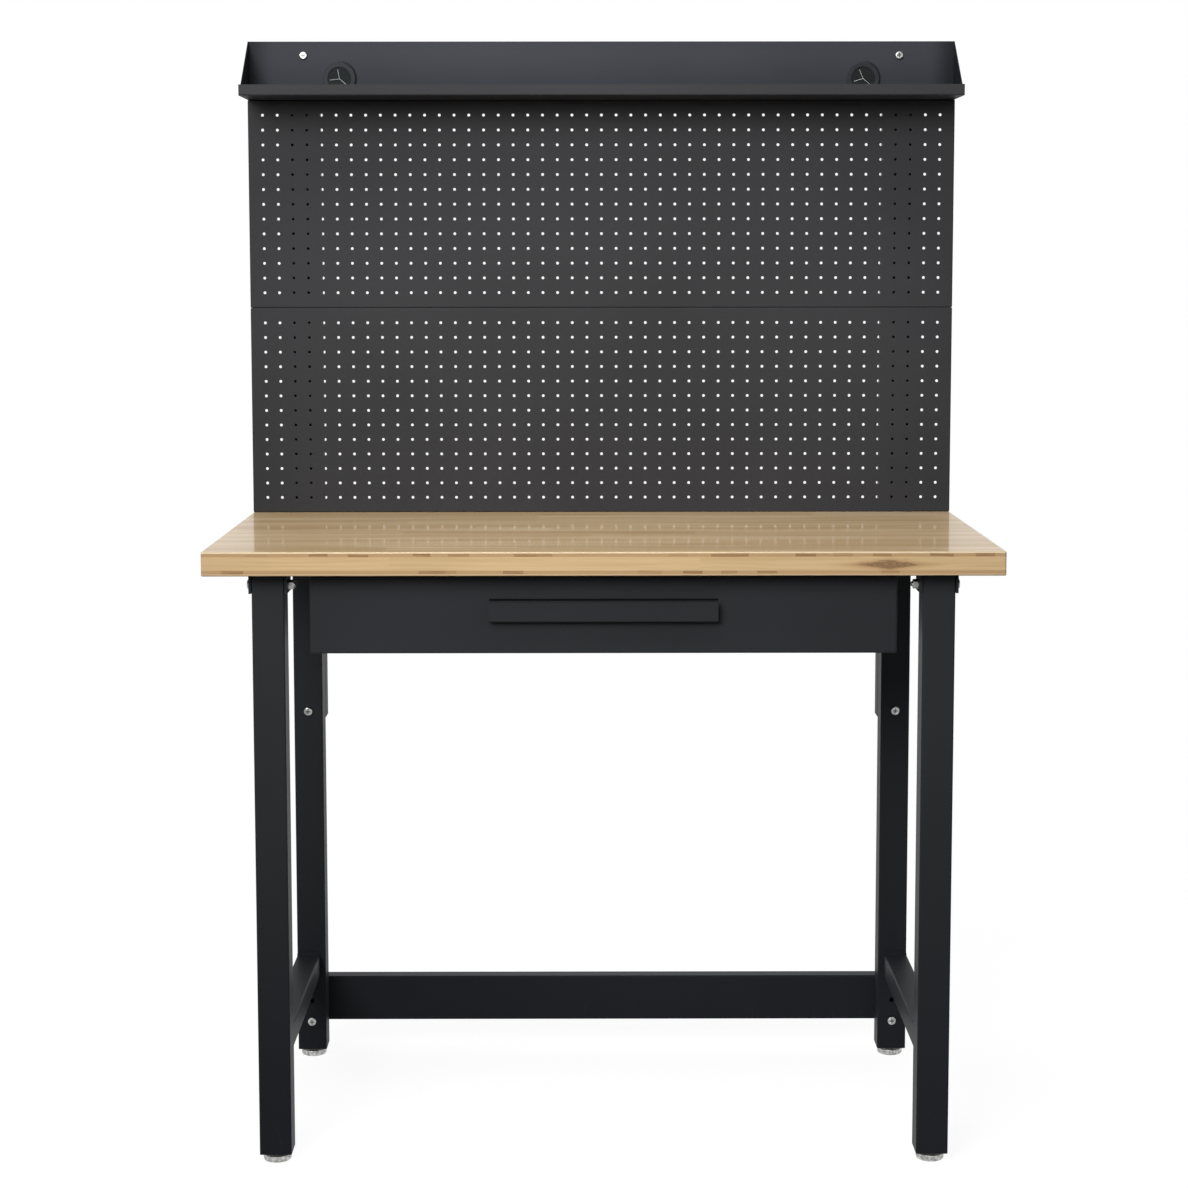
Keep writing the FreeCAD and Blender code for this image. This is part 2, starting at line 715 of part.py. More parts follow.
def pegboard_shape():
    # shallow sheet-metal pan, open at the back, with a lip along its upper
    # and lower edges; front face at y = 0, lower edge at z = 0
    width, height = number_of(size.worktop_width), number_of(size.panel_height)
    depth, wall = number_of(size.panel_depth), number_of(size.panel_sheet)
    lip, bend = number_of(size.panel_lip), number_of(size.panel_round)
    pitch, bore = number_of(size.panel_pitch), number_of(size.peg_hole)

    def block(inset, near, far, front_round):
        corner = FreeCAD.Vector(-width / 2 + inset, near, inset)
        solid = Part.makeBox(width - 2 * inset, far - near, height - 2 * inset, corner)
        edges = [edge for edge in solid.Edges if lying_on(edge, near) or lying_on(edge, near, far)]
        return solid.makeFillet(front_round, edges)

    pan = block(0, 0, depth, bend).cut(block(wall, wall, depth - wall, bend - wall))
    open_back = Part.makeBox(width - 2 * wall, wall, height - 2 * lip,
                             FreeCAD.Vector(-width / 2 + wall, depth - wall, lip))
    frame = bend + wall
    window = Part.makeBox(width - 2 * frame, wall, height - 2 * frame, FreeCAD.Vector(frame - width / 2, 0, frame))
    backwards = FreeCAD.Vector(0, 1, 0)
    rear_holes = [Part.makeCylinder(number_of(size.panel_screw_hole) / 2, wall,
                                    FreeCAD.Vector(side * number_of(leg_x), depth - wall, z), backwards)
                  for side in SIDES.values() for z in (lip / 2, height - lip / 2)]
    pan = pan.cut(Part.makeCompound([open_back, window] + rear_holes))

    columns, rows = round(width / pitch) - 1, round(height / pitch) - 1
    first_x = -(columns - 1) * pitch / 2
    first_z = height / 2 - (rows - 1) * pitch / 2
    rim = Part.makePolygon([FreeCAD.Vector(x, 0, z) for x, z in (
        (frame - width / 2, frame), (width / 2 - frame, frame), (width / 2 - frame, height - frame),
        (frame - width / 2, height - frame), (frame - width / 2, frame))])
    rings = [Part.Wire(Part.makeCircle(bore / 2, FreeCAD.Vector(first_x + column * pitch, 0, first_z + row * pitch),
                                       backwards))
             for column in range(columns) for row in range(rows)]
    holed = Part.Face([rim] + rings).extrude(FreeCAD.Vector(0, wall, 0))
    return pan.fuse(holed)


def make_pegboards():
    shape = pegboard_shape()
    for label, bottom in zip(("pegboard_lower", "pegboard_upper"), panel_bottoms):
        panel = doc.addObject("Part::Feature", label)
        panel.Label = label
        panel.Shape = shape.copy()
        place(panel, y=rear_face - size.panel_depth, z=bottom)
        pieces.append(panel)


def make_panel_fasteners():
    grip = size.channel_sheet + size.panel_sheet
    panel_screw = screw("panel_screw_seed", size.panel_screw, grip + size.panel_nut_height + size.panel_screw_end,
                        size.panel_screw_head, size.panel_screw_head_height)
    panel_nut = nut("panel_nut_seed", size.panel_nut_flats, size.panel_nut_height, size.panel_screw)
    forward = turn_towards(0, -1, 0)
    group("pegboard_screws", panel_screw, [(side * leg_x, rear_face + size.channel_sheet, z, forward)
                                           for side in SIDES.values() for z in panel_screws_z])
    group("pegboard_nuts", panel_nut, [(side * leg_x, rear_face - size.panel_sheet, z, forward)
                                       for side in SIDES.values() for z in panel_screws_z])


def make_shelf():
    # tray with a low front lip, a tall back and sloping ends; local y = 0 is
    # the rear face and z = 0 the underside
    body = new_body("shelf")
    wall, bend = size.shelf_sheet, size.shelf_round
    front = -size.shelf_depth
    end = section(body, "x", -half_width)
    outline(end, [(0.0, 0.0, bend), (front, 0.0, bend), (front, size.shelf_lip),
                  (front + size.shelf_lip_run, size.shelf_lip), (-wall, size.shelf_back), (0.0, size.shelf_back)])
    pad(body, "x", end, size.worktop_width)
    beyond = size.shelf_back + wall
    trough = section(body, "x", wall - half_width)
    outline(trough, [(-wall, wall, bend - wall), (front + wall, wall, bend - wall), (front + wall, size.shelf_lip),
                     (front - wall, size.shelf_lip), (front - wall, beyond), (-wall, beyond)])
    pocket(body, "x", trough, size.worktop_width - wall * 2)
    drill(body, "y", -wall, wall, [(side * grommet_x, size.grommet_rise) for side in SIDES.values()],
          size.grommet_hole)
    drill(body, "y", -wall, wall, [(side * leg_x, z - shelf_bottom) for side in SIDES.values()
                                   for z in shelf_screws_z], size.shelf_screw_hole)
    place(body, y=rear_face, z=shelf_bottom)

    grip = size.shelf_sheet + size.channel_sheet
    shelf_screw = screw("shelf_screw_seed", size.shelf_screw, grip + size.shelf_nut_height + size.shelf_screw_end,
                        size.shelf_screw_head, size.shelf_screw_head_height)
    shelf_nut = nut("shelf_nut_seed", size.shelf_nut_flats, size.shelf_nut_height, size.shelf_screw)
    back = turn_towards(0, 1, 0)
    places = [(side * leg_x, z) for side in SIDES.values() for z in shelf_screws_z]
    group("shelf_screws", shelf_screw, [(x, rear_face - size.shelf_sheet, z, back) for x, z in places])
    group("shelf_nuts", shelf_nut, [(x, rear_face + size.channel_sheet, z, back) for x, z in places])


def make_grommet(side_name):
    # turned about its own z axis, which points to the front of the bench
    neck = size.grommet_hole / 2 - size.grommet_play
    inner = neck - size.grommet_neck_wall
    front = size.grommet_flange_thickness
    ring = new_body(f"grommet_ring_{side_name}")
    profile = section(ring, "y")
    outline(profile, [
        (size.grommet_flange / 2, 0.0), (size.grommet_flange / 2, front, size.grommet_round), (inner, front),
        (inner, size.grommet_seat), (inner - size.grommet_seat, size.grommet_seat),
        (inner - size.grommet_seat, -size.grommet_neck_depth), (neck, -size.grommet_neck_depth), (neck, 0.0)])
    revolve(ring, profile)

    flap = new_body(f"grommet_flap_{side_name}")
    radius = inner - size.thread_gap
    disc = section(flap, "z")
    circle(disc, 0.0, 0.0, radius * 2)
    pad(flap, "z", disc, size.flap_thickness)
    reach = radius - size.flap_rim
    half = size.flap_slit / 2
    for angle in FLAP_SLITS[side_name]:
        slit = section(flap, "z")
        along = FreeCAD.Vector(math.cos(math.radians(angle)), math.sin(math.radians(angle)), 0)
        across = FreeCAD.Vector(-along.y, along.x, 0)
        ends = [(half, 0.0), (half, 1.0), (-half, 1.0), (-half, 0.0)]
        outline(slit, [(along.x * reach * far + across.x * near, along.y * reach * far + across.y * near)
                       for near, far in ends])
        pocket(flap, "z", slit, size.flap_thickness)
    forward = turn_towards(0, -1, 0)
    face = rear_face - size.shelf_sheet
    place(ring, SIDES[side_name] * grommet_x, face, grommet_z, forward)
    place(flap, SIDES[side_name] * grommet_x, face - size.grommet_seat, grommet_z, forward)


def make_hanger(side_name):
    body = new_body(f"drawer_hanger_{side_name}")
    side = SIDES[side_name]
    wall, bend = size.hanger_sheet, size.hanger_round
    drop = underside - hanger_low
    profile = section(body, "y")
    outline(profile, [
        (0.0, -drop), (side * wall, -drop), (side * wall, -wall, bend - wall), (side * size.hanger_flange, -wall),
        (side * size.hanger_flange, 0.0), (0.0, 0.0, bend)])
    pad(body, "y", profile, slide_front + size.slide_length - hanger_front)
    ends = [y - hanger_front for y in slide_screws_y]
    drill(body, "z", -wall, wall, [(side * (hanger_screw_x - hanger_x), y) for y in ends], size.wood_screw_hole)
    near = 0.0 if side > 0 else -wall
    drill(body, "x", near, wall, [(y, slide_middle_z - underside) for y in ends],
          size.slide_screw + size.thread_gap * 2)
    place(body, side * hanger_x, hanger_front, underside)


def slide_member(label, side, web_x, lip_x, half, screw_hole):
    # a C of thin steel: web at web_x, lips reaching to lip_x
    body = new_body(label)
    wall = size.slide_sheet
    bend = size.slide_round
    into = 1 if number_of(lip_x) > number_of(web_x) else -1
    web_inner = web_x + into * wall
    profile = section(body, "y")
    corners = [(web_x, -half, bend), (web_x, half, bend), (lip_x, half), (lip_x, half - wall),
               (web_inner, half - wall, bend - wall), (web_inner, wall - half, bend - wall),
               (lip_x, wall - half), (lip_x, -half)]
    outline(profile, [(side * corner[0], *corner[1:]) for corner in corners])
    pad(body, "y", profile, size.slide_length)
    if screw_hole:
        near = min(number_of(side * web_x), number_of(side * web_inner))
        start = side * web_x if abs(number_of(side * web_x) - near) < 1e-6 else side * web_inner
        drill(body, "x", start, wall, [(y - slide_front, 0.0) for y in slide_screws_y],
              size.slide_screw + size.thread_gap * 2)
    place(body, y=slide_front, z=slide_middle_z)


def make_slides():
    step = size.slide_sheet + size.slide_gap
    half = size.slide_height / 2
    for side_name, side in SIDES.items():
        outer_lip = box_half + size.slide_sheet * 2 + size.slide_gap * 2
        slide_member(f"slide_outer_{side_name}", side, hanger_x, outer_lip, half, True)
        slide_member(f"slide_middle_{side_name}", side, hanger_x - step, outer_lip - size.slide_sheet,
                     half - step, False)
        slide_member(f"slide_inner_{side_name}", side, box_half, hanger_x - step * 2, half - step * 2, True)

    outer = screw("hanger_slide_screw", size.slide_screw, size.hanger_sheet + size.slide_sheet,
                  size.slide_screw_head, size.slide_screw_head_height)
    inner = screw("drawer_slide_screw", size.slide_screw, size.drawer_sheet + size.slide_sheet,
                  size.slide_screw_head, size.slide_screw_head_height)
    inward = {side: turn_towards(-side, 0, 0) for side in SIDES.values()}
    outward = {side: turn_towards(side, 0, 0) for side in SIDES.values()}
    group("slide_outer_screws", outer, [(side * (hanger_x + size.hanger_sheet), y, slide_middle_z, inward[side])
                                        for side in SIDES.values() for y in slide_screws_y])
    group("slide_inner_screws", inner, [(side * (box_half - size.drawer_sheet), y, slide_middle_z, outward[side])
                                        for side in SIDES.values() for y in slide_screws_y])


def drawer_wall(label, axis, start, length, at):
    # sheet with its upper and lower edges folded inwards; at() turns a
    # distance from the outer face into the place across the wall
    wall, bend, rim, height = size.drawer_sheet, size.drawer_fold_round, size.drawer_rim, size.drawer_box_height
    body = new_body(label)
    profile = section(body, axis, start)
    outline(profile, [
        (at(0.0), 0.0, bend), (at(0.0), height, bend), (at(rim), height), (at(rim), height - wall),
        (at(wall), height - wall, bend - wall), (at(wall), wall, bend - wall), (at(rim), wall), (at(rim), 0.0)])
    pad(body, axis, profile, length)
    return body


def make_drawer_side(side_name):
    # full depth, with the rims cut away where the front and the back stand
    side = SIDES[side_name]
    wall, depth, height = size.drawer_sheet, size.drawer_box_depth, size.drawer_box_height
    body = drawer_wall(f"drawer_side_{side_name}", "y", 0.0, depth, lambda inward: side * (box_half - inward))
    cut = size.drawer_rim + size.seat_gap
    left, right = [side * x for x in (box_half - cut - wall, drawer_reach + size.seat_gap)[::side]]
    for start in (0.0, depth - cut):
        notch = section(body, "y", start)
        box_outline(notch, left, right, -wall, height + wall)
        pocket(body, "y", notch, cut)
    drill(body, "x", box_half - wall if side > 0 else -box_half, wall,
          [(y - box_front, slide_middle_z - box_bottom) for y in slide_screws_y], size.slide_screw_hole)
    place(body, y=box_front, z=box_bottom)


def make_drawer_ends():
    wall, depth = size.drawer_sheet, size.drawer_box_depth
    front = drawer_wall("drawer_inner_front", "x", -drawer_reach, drawer_reach * 2, lambda inward: inward)
    drill(front, "y", 0.0, wall, [(side * stud_x, z - box_bottom) for side in SIDES.values() for z in studs_z],
          size.stud_hole)
    drill(front, "y", 0.0, wall, [(x, handle_screw_z - box_bottom) for x in handle_screws_x], size.stud_hole)
    back = drawer_wall("drawer_back", "x", -drawer_reach, drawer_reach * 2, lambda inward: depth - inward)
    for body in (front, back):
        place(body, y=box_front, z=box_bottom)


def make_drawer_bottom():
    # flat sheet that rests on the lower rims
    body = new_body("drawer_bottom")
    clear = size.drawer_sheet + size.seat_gap
    plan = section(body, "z", size.drawer_sheet)
    box_outline(plan, clear - box_half, box_half - clear, clear, size.drawer_box_depth - clear)
    pad(body, "z", plan, size.drawer_sheet)
    place(body, y=box_front, z=box_bottom)


def make_drawer_front():
    # pan with its four edges folded back, and welded studs behind it
    body = new_body("drawer_front")
    wall, bend = size.drawer_sheet, size.drawer_round
    half, height, fold = size.drawer_width / 2, size.drawer_front_height, size.drawer_front_fold
    outer = section(body, "y")
    box_outline(outer, -half, half, 0.0, height)
    pad(body, "y", outer, fold)
    depth = number_of(fold)
    round_edges(body, bend, lambda edge: lying_on(edge, 0.0) or lying_on(edge, 0.0, depth))
    inside = section(body, "y", wall)
    box_outline(inside, wall - half, half - wall, wall, height - wall, bend - wall)
    pocket(body, "y", inside, fold - wall)
    studs = section(body, "y", wall)
    for side in SIDES.values():
        for z in studs_z:
            circle(studs, side * stud_x, z - drawer_bottom, size.stud)
    pad(body, "y", studs, wall + size.panel_nut_height + size.stud_end)
    drill(body, "y", 0.0, wall, [(x, handle_screw_z - drawer_bottom) for x in handle_screws_x], size.stud_hole)
    place(body, y=drawer_face, z=drawer_bottom)


def make_handle():
    # pull of folded sheet, open along the top; local y = 0 is the drawer face
    body = new_body("drawer_handle")
    wall, bend, depth = size.handle_sheet, size.handle_round, size.handle_depth
    profile = section(body, "x", -size.handle_length / 2)
    outline(profile, [
        (0.0, 0.0, bend), (0.0, size.handle_back), (-wall, size.handle_back), (-wall, wall, bend - wall),
        (wall - depth, wall, bend - wall), (wall - depth, size.handle_height), (-depth, size.handle_height),
        (-depth, 0.0, bend)])
    pad(body, "x", profile, size.handle_length)
    drill(body, "y", -wall, wall, [(x, size.handle_screw_rise) for x in handle_screws_x],
          size.stud + size.thread_gap * 2)
    top = number_of(size.handle_height)
    front = -number_of(depth)

    def rounded(edge):
        box = edge.BoundBox
        upright = abs(box.YMin - front) < 1e-6 and box.YMax < front + number_of(wall) + 1e-6
        return upright and abs(box.ZMax - top) < 1e-6 and abs(box.ZMin - top) < 1e-6 and box.XLength > 1
    round_edges(body, size.handle_edge_round, rounded)
    place(body, y=drawer_face, z=handle_low)


def make_drawer_fasteners():
    stud_nut = nut("stud_nut_seed", size.panel_nut_flats, size.panel_nut_height, size.stud)
    back = turn_towards(0, 1, 0)
    inner_face = box_front + size.drawer_sheet
    group("drawer_front_nuts", stud_nut, [(side * stud_x, inner_face, z, back)
                                          for side in SIDES.values() for z in studs_z])
    grip = size.drawer_sheet * 2 + size.handle_sheet
    handle_screw = screw("handle_screw_seed", size.stud, grip + size.handle_screw_end,
                         size.panel_screw_head, size.panel_screw_head_height)
    forward = turn_towards(0, -1, 0)
    group("handle_screws", handle_screw, [(x, inner_face, handle_screw_z, forward) for x in handle_screws_x])


def check_and_write():
    doc.recompute()
    failed = [item.Name for item in doc.Objects if "Invalid" in item.State or "Error" in item.State]
    if failed:
        raise RuntimeError(f"features failed: {failed}")
    for item in doc.Objects:
        if item.TypeId in ("PartDesign::Pad", "PartDesign::Pocket") and item.BaseFeature is not None:
            gained = item.Shape.Volume - item.BaseFeature.Shape.Volume
            if gained * (1 if item.TypeId == "PartDesign::Pad" else -1) < 1e-3:
                raise RuntimeError(f"{item.Name} adds or cuts nothing")
    for piece in pieces:
        if piece.Shape.isNull() or not piece.Shape.isValid():
            raise RuntimeError(f"{piece.Label} has no valid shape")
        if piece.TypeId != "Part::Compound" and len(piece.Shape.Solids) != 1:
            raise RuntimeError(f"{piece.Label} is not one solid")
    os.makedirs("parts", exist_ok=True)
    for piece in pieces:
        piece.Shape.exportStep(f"parts/{piece.Label}.step")
    print(f"{len(pieces)} pieces, {sum(len(piece.Shape.Solids) for piece in pieces)} solids")


make_worktop()
for end_name in leg_y:
    for side_label in SIDES:
        make_leg(end_name, side_label)
        make_foot_plate(end_name, side_label)
        make_levelling_foot(end_name, side_label)
        make_top_bracket(end_name, side_label)
for side_label in SIDES:
    make_side_rail(side_label)
    make_post(side_label)
    make_grommet(side_label)
    make_hanger(side_label)
    make_drawer_side(side_label)
make_rear_rail()
make_frame_fasteners()
make_wood_screws()
make_pegboards()
make_panel_fasteners()
make_shelf()
make_slides()
make_drawer_ends()
make_drawer_bottom()
make_drawer_front()
make_handle()
make_drawer_fasteners()
check_and_write()
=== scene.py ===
import json
import math
import bmesh
import bpy
import numpy as np
from mathutils import Matrix, Vector


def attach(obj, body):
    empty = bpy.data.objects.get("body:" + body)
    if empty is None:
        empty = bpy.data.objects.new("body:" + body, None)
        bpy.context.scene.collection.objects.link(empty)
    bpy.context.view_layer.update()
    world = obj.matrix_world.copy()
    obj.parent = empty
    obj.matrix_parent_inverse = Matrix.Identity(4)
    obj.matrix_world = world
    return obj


# Steel workbench with a laminated wood top, a wide drawer, two pegboards and a tool shelf.
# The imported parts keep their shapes. This script sets up the camera, the lamps and the floor,
# gives the parts their finishes, and adds the welds and the screw threads. Metres throughout.

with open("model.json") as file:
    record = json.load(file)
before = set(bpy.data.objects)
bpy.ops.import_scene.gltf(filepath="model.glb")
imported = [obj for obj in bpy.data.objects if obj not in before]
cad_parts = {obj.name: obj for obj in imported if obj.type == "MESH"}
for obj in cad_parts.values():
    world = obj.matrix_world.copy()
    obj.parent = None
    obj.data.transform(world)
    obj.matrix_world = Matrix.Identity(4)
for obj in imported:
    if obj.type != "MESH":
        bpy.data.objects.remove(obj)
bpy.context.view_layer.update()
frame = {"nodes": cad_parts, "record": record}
print("parts loaded:", len(frame["nodes"]))


class Value:
    # one output socket; an expression on it adds Math nodes

    def __init__(self, graph, socket):
        self.graph = graph
        self.socket = socket

    def maths(self, operation, *numbers):
        return self.graph.add("ShaderNodeMath", {"operation": operation}, dict(enumerate(numbers)))

    def __add__(self, other):
        return self.maths("ADD", self, other)

    __radd__ = __add__

    def __sub__(self, other):
        return self.maths("SUBTRACT", self, other)

    def __rsub__(self, other):
        return self.maths("SUBTRACT", other, self)

    def __mul__(self, other):
        return self.maths("MULTIPLY", self, other)

    __rmul__ = __mul__

    def __truediv__(self, other):
        return self.maths("DIVIDE", self, other)

    def __rtruediv__(self, other):
        return self.maths("DIVIDE", other, self)

    def __pow__(self, other):
        return self.maths("POWER", self, other)

    def __gt__(self, other):
        return self.maths("GREATER_THAN", self, other)

    def __lt__(self, other):
        return self.maths("LESS_THAN", self, other)

    def __abs__(self):
        return self.maths("ABSOLUTE", self)

    def larger(self, other):
        return self.maths("MAXIMUM", self, other)

    def smaller(self, other):
        return self.maths("MINIMUM", self, other)

    def floor(self):
        return self.maths("FLOOR", self)

    def fraction(self):
        return self.maths("FRACT", self)

    def rise(self, start, end, low=0.0, high=1.0):
        # smooth step from low to high while this value goes from start to end
        return self.graph.add("ShaderNodeMapRange", {"interpolation_type": "SMOOTHSTEP"},
                              {0: self, 1: start, 2: end, 3: low, 4: high})

    def fall(self, start, end, high=1.0):
        # smooth step down from high to 0
        return self.rise(start, end, high, 0.0)


class Graph:
    # the nodes of one material or of the world

    def __init__(self, tree):
        self.tree = tree
        tree.nodes.clear()

    def node(self, kind, settings, inputs):
        # settings go in first, then each named socket gets its value or its link
        node = self.tree.nodes.new(kind)
        for name, setting in settings.items():
            setattr(node, name, setting)
        for name, given in inputs.items():
            if isinstance(given, Value):
                self.tree.links.new(given.socket, node.inputs[name])
            else:
                node.inputs[name].default_value = given
        return node

    def add(self, kind, settings, inputs, output=0):
        return Value(self, self.node(kind, settings, inputs).outputs[output])

    def end(self, kind, shader):
        self.node(kind, {}, {"Surface": shader})

    def place(self):
        # where a point is on the bench, in metres
        return self.add("ShaderNodeTexCoord", {}, {}, "Object")

    def parts(self, vector):
        node = self.node("ShaderNodeSeparateXYZ", {}, {0: vector})
        return [Value(self, socket) for socket in node.outputs]

    def joined(self, x, y, z):
        return self.add("ShaderNodeCombineXYZ", {}, {0: x, 1: y, 2: z})

    def noise(self, place, waves, shift=(0.0, 0.0, 0.0)):
        # waves holds how many a metre has along x, y and z, then their detail and roughness
        perMetre, detail, roughness = waves
        vector = self.add("ShaderNodeVectorMath", {"operation": "MULTIPLY_ADD"},
                          {0: place, 1: perMetre, 2: shift})
        return self.add("ShaderNodeTexNoise", {},
                        {"Vector": vector, "Scale": 1.0, "Detail": detail, "Roughness": roughness})

    def mixed(self, factor, first, second, mode="MIX"):
        # on this node, 6 and 7 are the two colours that go in and 2 is the one that comes out
        return self.add("ShaderNodeMix", {"data_type": "RGBA", "blend_type": mode},
                        {0: factor, 6: first, 7: second}, 2)

    def bump(self, height, distance):
        return self.add("ShaderNodeBump", {}, {"Height": height, "Distance": distance})


# How a screen stores a colour: a power curve, and a straight line for its darkest tones
screen = {
    "steps": 255,
    "darkUpTo": 10,
    "darkSlope": 12.92,
    "offset": 0.055,
    "power": 2.4,
}
white = (1.0, 1.0, 1.0, 1.0)


def tone(red, green, blue):
    # a colour read off a screen, 0 to 255, as the shader takes it
    linear = []
    for level in (red, green, blue):
        share = level / screen["steps"]
        if level > screen["darkUpTo"]:
            linear.append(((share + screen["offset"]) / (1 + screen["offset"])) ** screen["power"])
        else:
            linear.append(share / screen["darkSlope"])
    return (*linear, 1.0)


def scaled(colour, factor):
    return tuple(part * factor for part in colour[:3]) + (1.0,)


def even(number):
    # the same number along x, y and z
    return (number, number, number)


def newFinish(name, varying, fixed):
    # a material whose varying sockets come from varying(graph), and the rest from fixed
    material = bpy.data.materials.new(name)
    material.use_nodes = True
    graph = Graph(material.node_tree)
    shader = graph.add("ShaderNodeBsdfPrincipled", {}, {**fixed, **varying(graph)})
    graph.end("ShaderNodeOutputMaterial", shader)
    return material


# Camera, at the angle of the photograph; down, right and roll are in radians
camera = {
    "place": (-0.0238, -4.0163, 1.4067),
    "down": 0.10105,
    "right": 0.00245,
    "roll": 0.00085,
    "lens": 74.52,
    "sensor": 36.0,
    "shift": -0.07,
    "reach": 200.0,
}


def makeCamera():
    data = bpy.data.cameras.new("photoCamera")
    data.lens = camera["lens"]
    data.sensor_width = camera["sensor"]
    data.shift_y = camera["shift"]
    data.clip_end = camera["reach"]
    item = bpy.data.objects.new("photoCamera", data)
    bpy.context.scene.collection.objects.link(item)
    turn = Matrix.Rotation(-camera["right"], 4, "Z")
    tilt = Matrix.Rotation(math.pi / 2 - camera["down"], 4, "X")
    roll = Matrix.Rotation(-camera["roll"], 4, "Z")
    item.matrix_world = Matrix.Translation(camera["place"]) @ turn @ tilt @ roll
    bpy.context.scene.camera = item
    bpy.context.scene.view_settings.view_transform = "Standard"


makeCamera()
print("camera ready")


# Light: an even pale room, a wide softbox in front on the left that is aimed high, a small
# one overhead for the wood, and a weak one behind. Spreads are in degrees.
light = {
    "room": 0.30,
    "lamps": {
        "keyLamp": {"place": (-1.3, -3.3, 2.9), "aim": (0.05, 0.0, 2.05), "size": 2.6,
                    "power": 37.0, "spread": 74.0},
        "topLamp": {"place": (-0.3, -0.9, 3.3), "aim": (0.0, -0.1, 1.0), "size": 1.2,
                    "power": 3.6, "spread": 60.0},
        "rearLamp": {"place": (0.0, 3.4, 2.6), "aim": (0.0, 0.2, 1.0), "size": 2.2,
                     "power": 26.0, "spread": 180.0},
    },
}


def seenWhite(graph):
    # 1 for rays that show the background: from the camera, in reflections and through glass
    paths = [graph.add("ShaderNodeLightPath", {}, {}, name)
             for name in ("Is Camera Ray", "Is Glossy Ray", "Is Transmission Ray")]
    return paths[0].larger(paths[1]).larger(paths[2])


def makeLight():
    world = bpy.data.worlds.new("paleRoom")
    bpy.context.scene.world = world
    world.use_nodes = True
    graph = Graph(world.node_tree)
    strength = seenWhite(graph) * (1.0 - light["room"]) + light["room"]
    shader = graph.add("ShaderNodeBackground", {}, {"Color": white, "Strength": strength})
    graph.end("ShaderNodeOutputWorld", shader)
    for name, lamp in light["lamps"].items():
        data = bpy.data.lights.new(name, "AREA")
        data.shape = "DISK"
        data.size = lamp["size"]
        data.energy = lamp["power"]
        data.spread = math.radians(lamp["spread"])
        item = bpy.data.objects.new(name, data)
        bpy.context.scene.collection.objects.link(item)
        item.location = lamp["place"]
        aim = Vector(lamp["aim"]) - Vector(lamp["place"])
        item.rotation_euler = aim.to_track_quat("-Z", "Y").to_euler()


makeLight()
print("light ready")


# New pieces are grids of points worked out with numpy and joined into one mesh
closeTogether = 1e-6  # points nearer than this become one


def surface(points, closedAcross=False):
    # points is a grid, rows along and columns across; returns its points and its quads
    rows, columns = points.shape[:2]
    index = np.arange(rows * columns).reshape(rows, columns)
    if closedAcross:
        index = np.hstack([index, index[:, :1]])
    corners = np.stack([index[:-1, :-1], index[:-1, 1:], index[1:, 1:], index[1:, :-1]], axis=-1)
    return points.reshape(-1, 3), corners.reshape(-1, 4).tolist()


def cappedTube(grid):
    # a tube round the grid's columns, with one face over its first row and one over its last
    points, faces = surface(grid, closedAcross=True)
    columns = grid.shape[1]
    last = len(points) - columns
    return points, faces + [list(range(columns))[::-1], list(range(last, last + columns))]


def makeObject(name, parts, material):
    # joins several (points, faces) into one object whose place is in its mesh
    first = 0
    points, faces = [], []
    for somePoints, someFaces in parts:
        points.append(somePoints)
        faces.extend([[i + first for i in face] for face in someFaces])
        first += len(somePoints)
    mesh = bpy.data.meshes.new(name)
    mesh.from_pydata(np.vstack(points).tolist(), [], faces)
    mesh.polygons.foreach_set("use_smooth", [True] * len(mesh.polygons))
    mesh.materials.append(material)
    mesh.update()
    item = bpy.data.objects.new(name, mesh)
    bpy.context.scene.collection.objects.link(item)
    return item


def turnOutwards(item):
    # merges doubled points and makes every face of a closed mesh point out
    shape = bmesh.new()
    shape.from_mesh(item.data)
    bmesh.ops.remove_doubles(shape, verts=shape.verts, dist=closeTogether)
    bmesh.ops.recalc_face_normals(shape, faces=shape.faces)
    shape.to_mesh(item.data)
    shape.free()


# Floor: pale, keeps a light shadow near the bench and fades to the white of the room
floor = {
    "half": 30.0,
    "steps": 41,
    "colour": (0.14, 0.14, 0.14, 1.0),
    "glow": 0.90,
    "shown": (0.20, 0.20, 0.20, 1.0),
    "fade": (1.6, 3.4),
}


def makeFloor():
    material = bpy.data.materials.new("paleFloor")
    material.use_nodes = True
    graph = Graph(material.node_tree)
    x, y = graph.parts(graph.place())[:2]
    away = (x * x + y * y) ** 0.5
    plain = graph.add("ShaderNodeBsdfDiffuse", {}, {"Color": floor["colour"]})
    glow = graph.add("ShaderNodeEmission", {}, {"Color": white, "Strength": floor["glow"]})
    lit = graph.add("ShaderNodeBsdfDiffuse", {}, {"Color": floor["shown"]})
    near = graph.add("ShaderNodeAddShader", {}, {0: glow, 1: lit})
    far = graph.add("ShaderNodeEmission", {}, {"Color": white, "Strength": 1.0})
    pale = graph.add("ShaderNodeMixShader", {}, {0: away.rise(*floor["fade"]), 1: near, 2: far})
    graph.end("ShaderNodeOutputMaterial",
              graph.add("ShaderNodeMixShader", {}, {0: seenWhite(graph), 1: plain, 2: pale}))
    # a level grid: x and y run evenly from one side to the other, z is 0
    steps = np.linspace(-floor["half"], floor["half"], floor["steps"])
    gridX, gridY = np.meshgrid(steps, steps)
    grid = np.stack([gridX, gridY, np.zeros_like(gridX)], axis=-1)
    makeObject("studioFloor", [surface(grid)], material)


makeFloor()
print("floor ready")


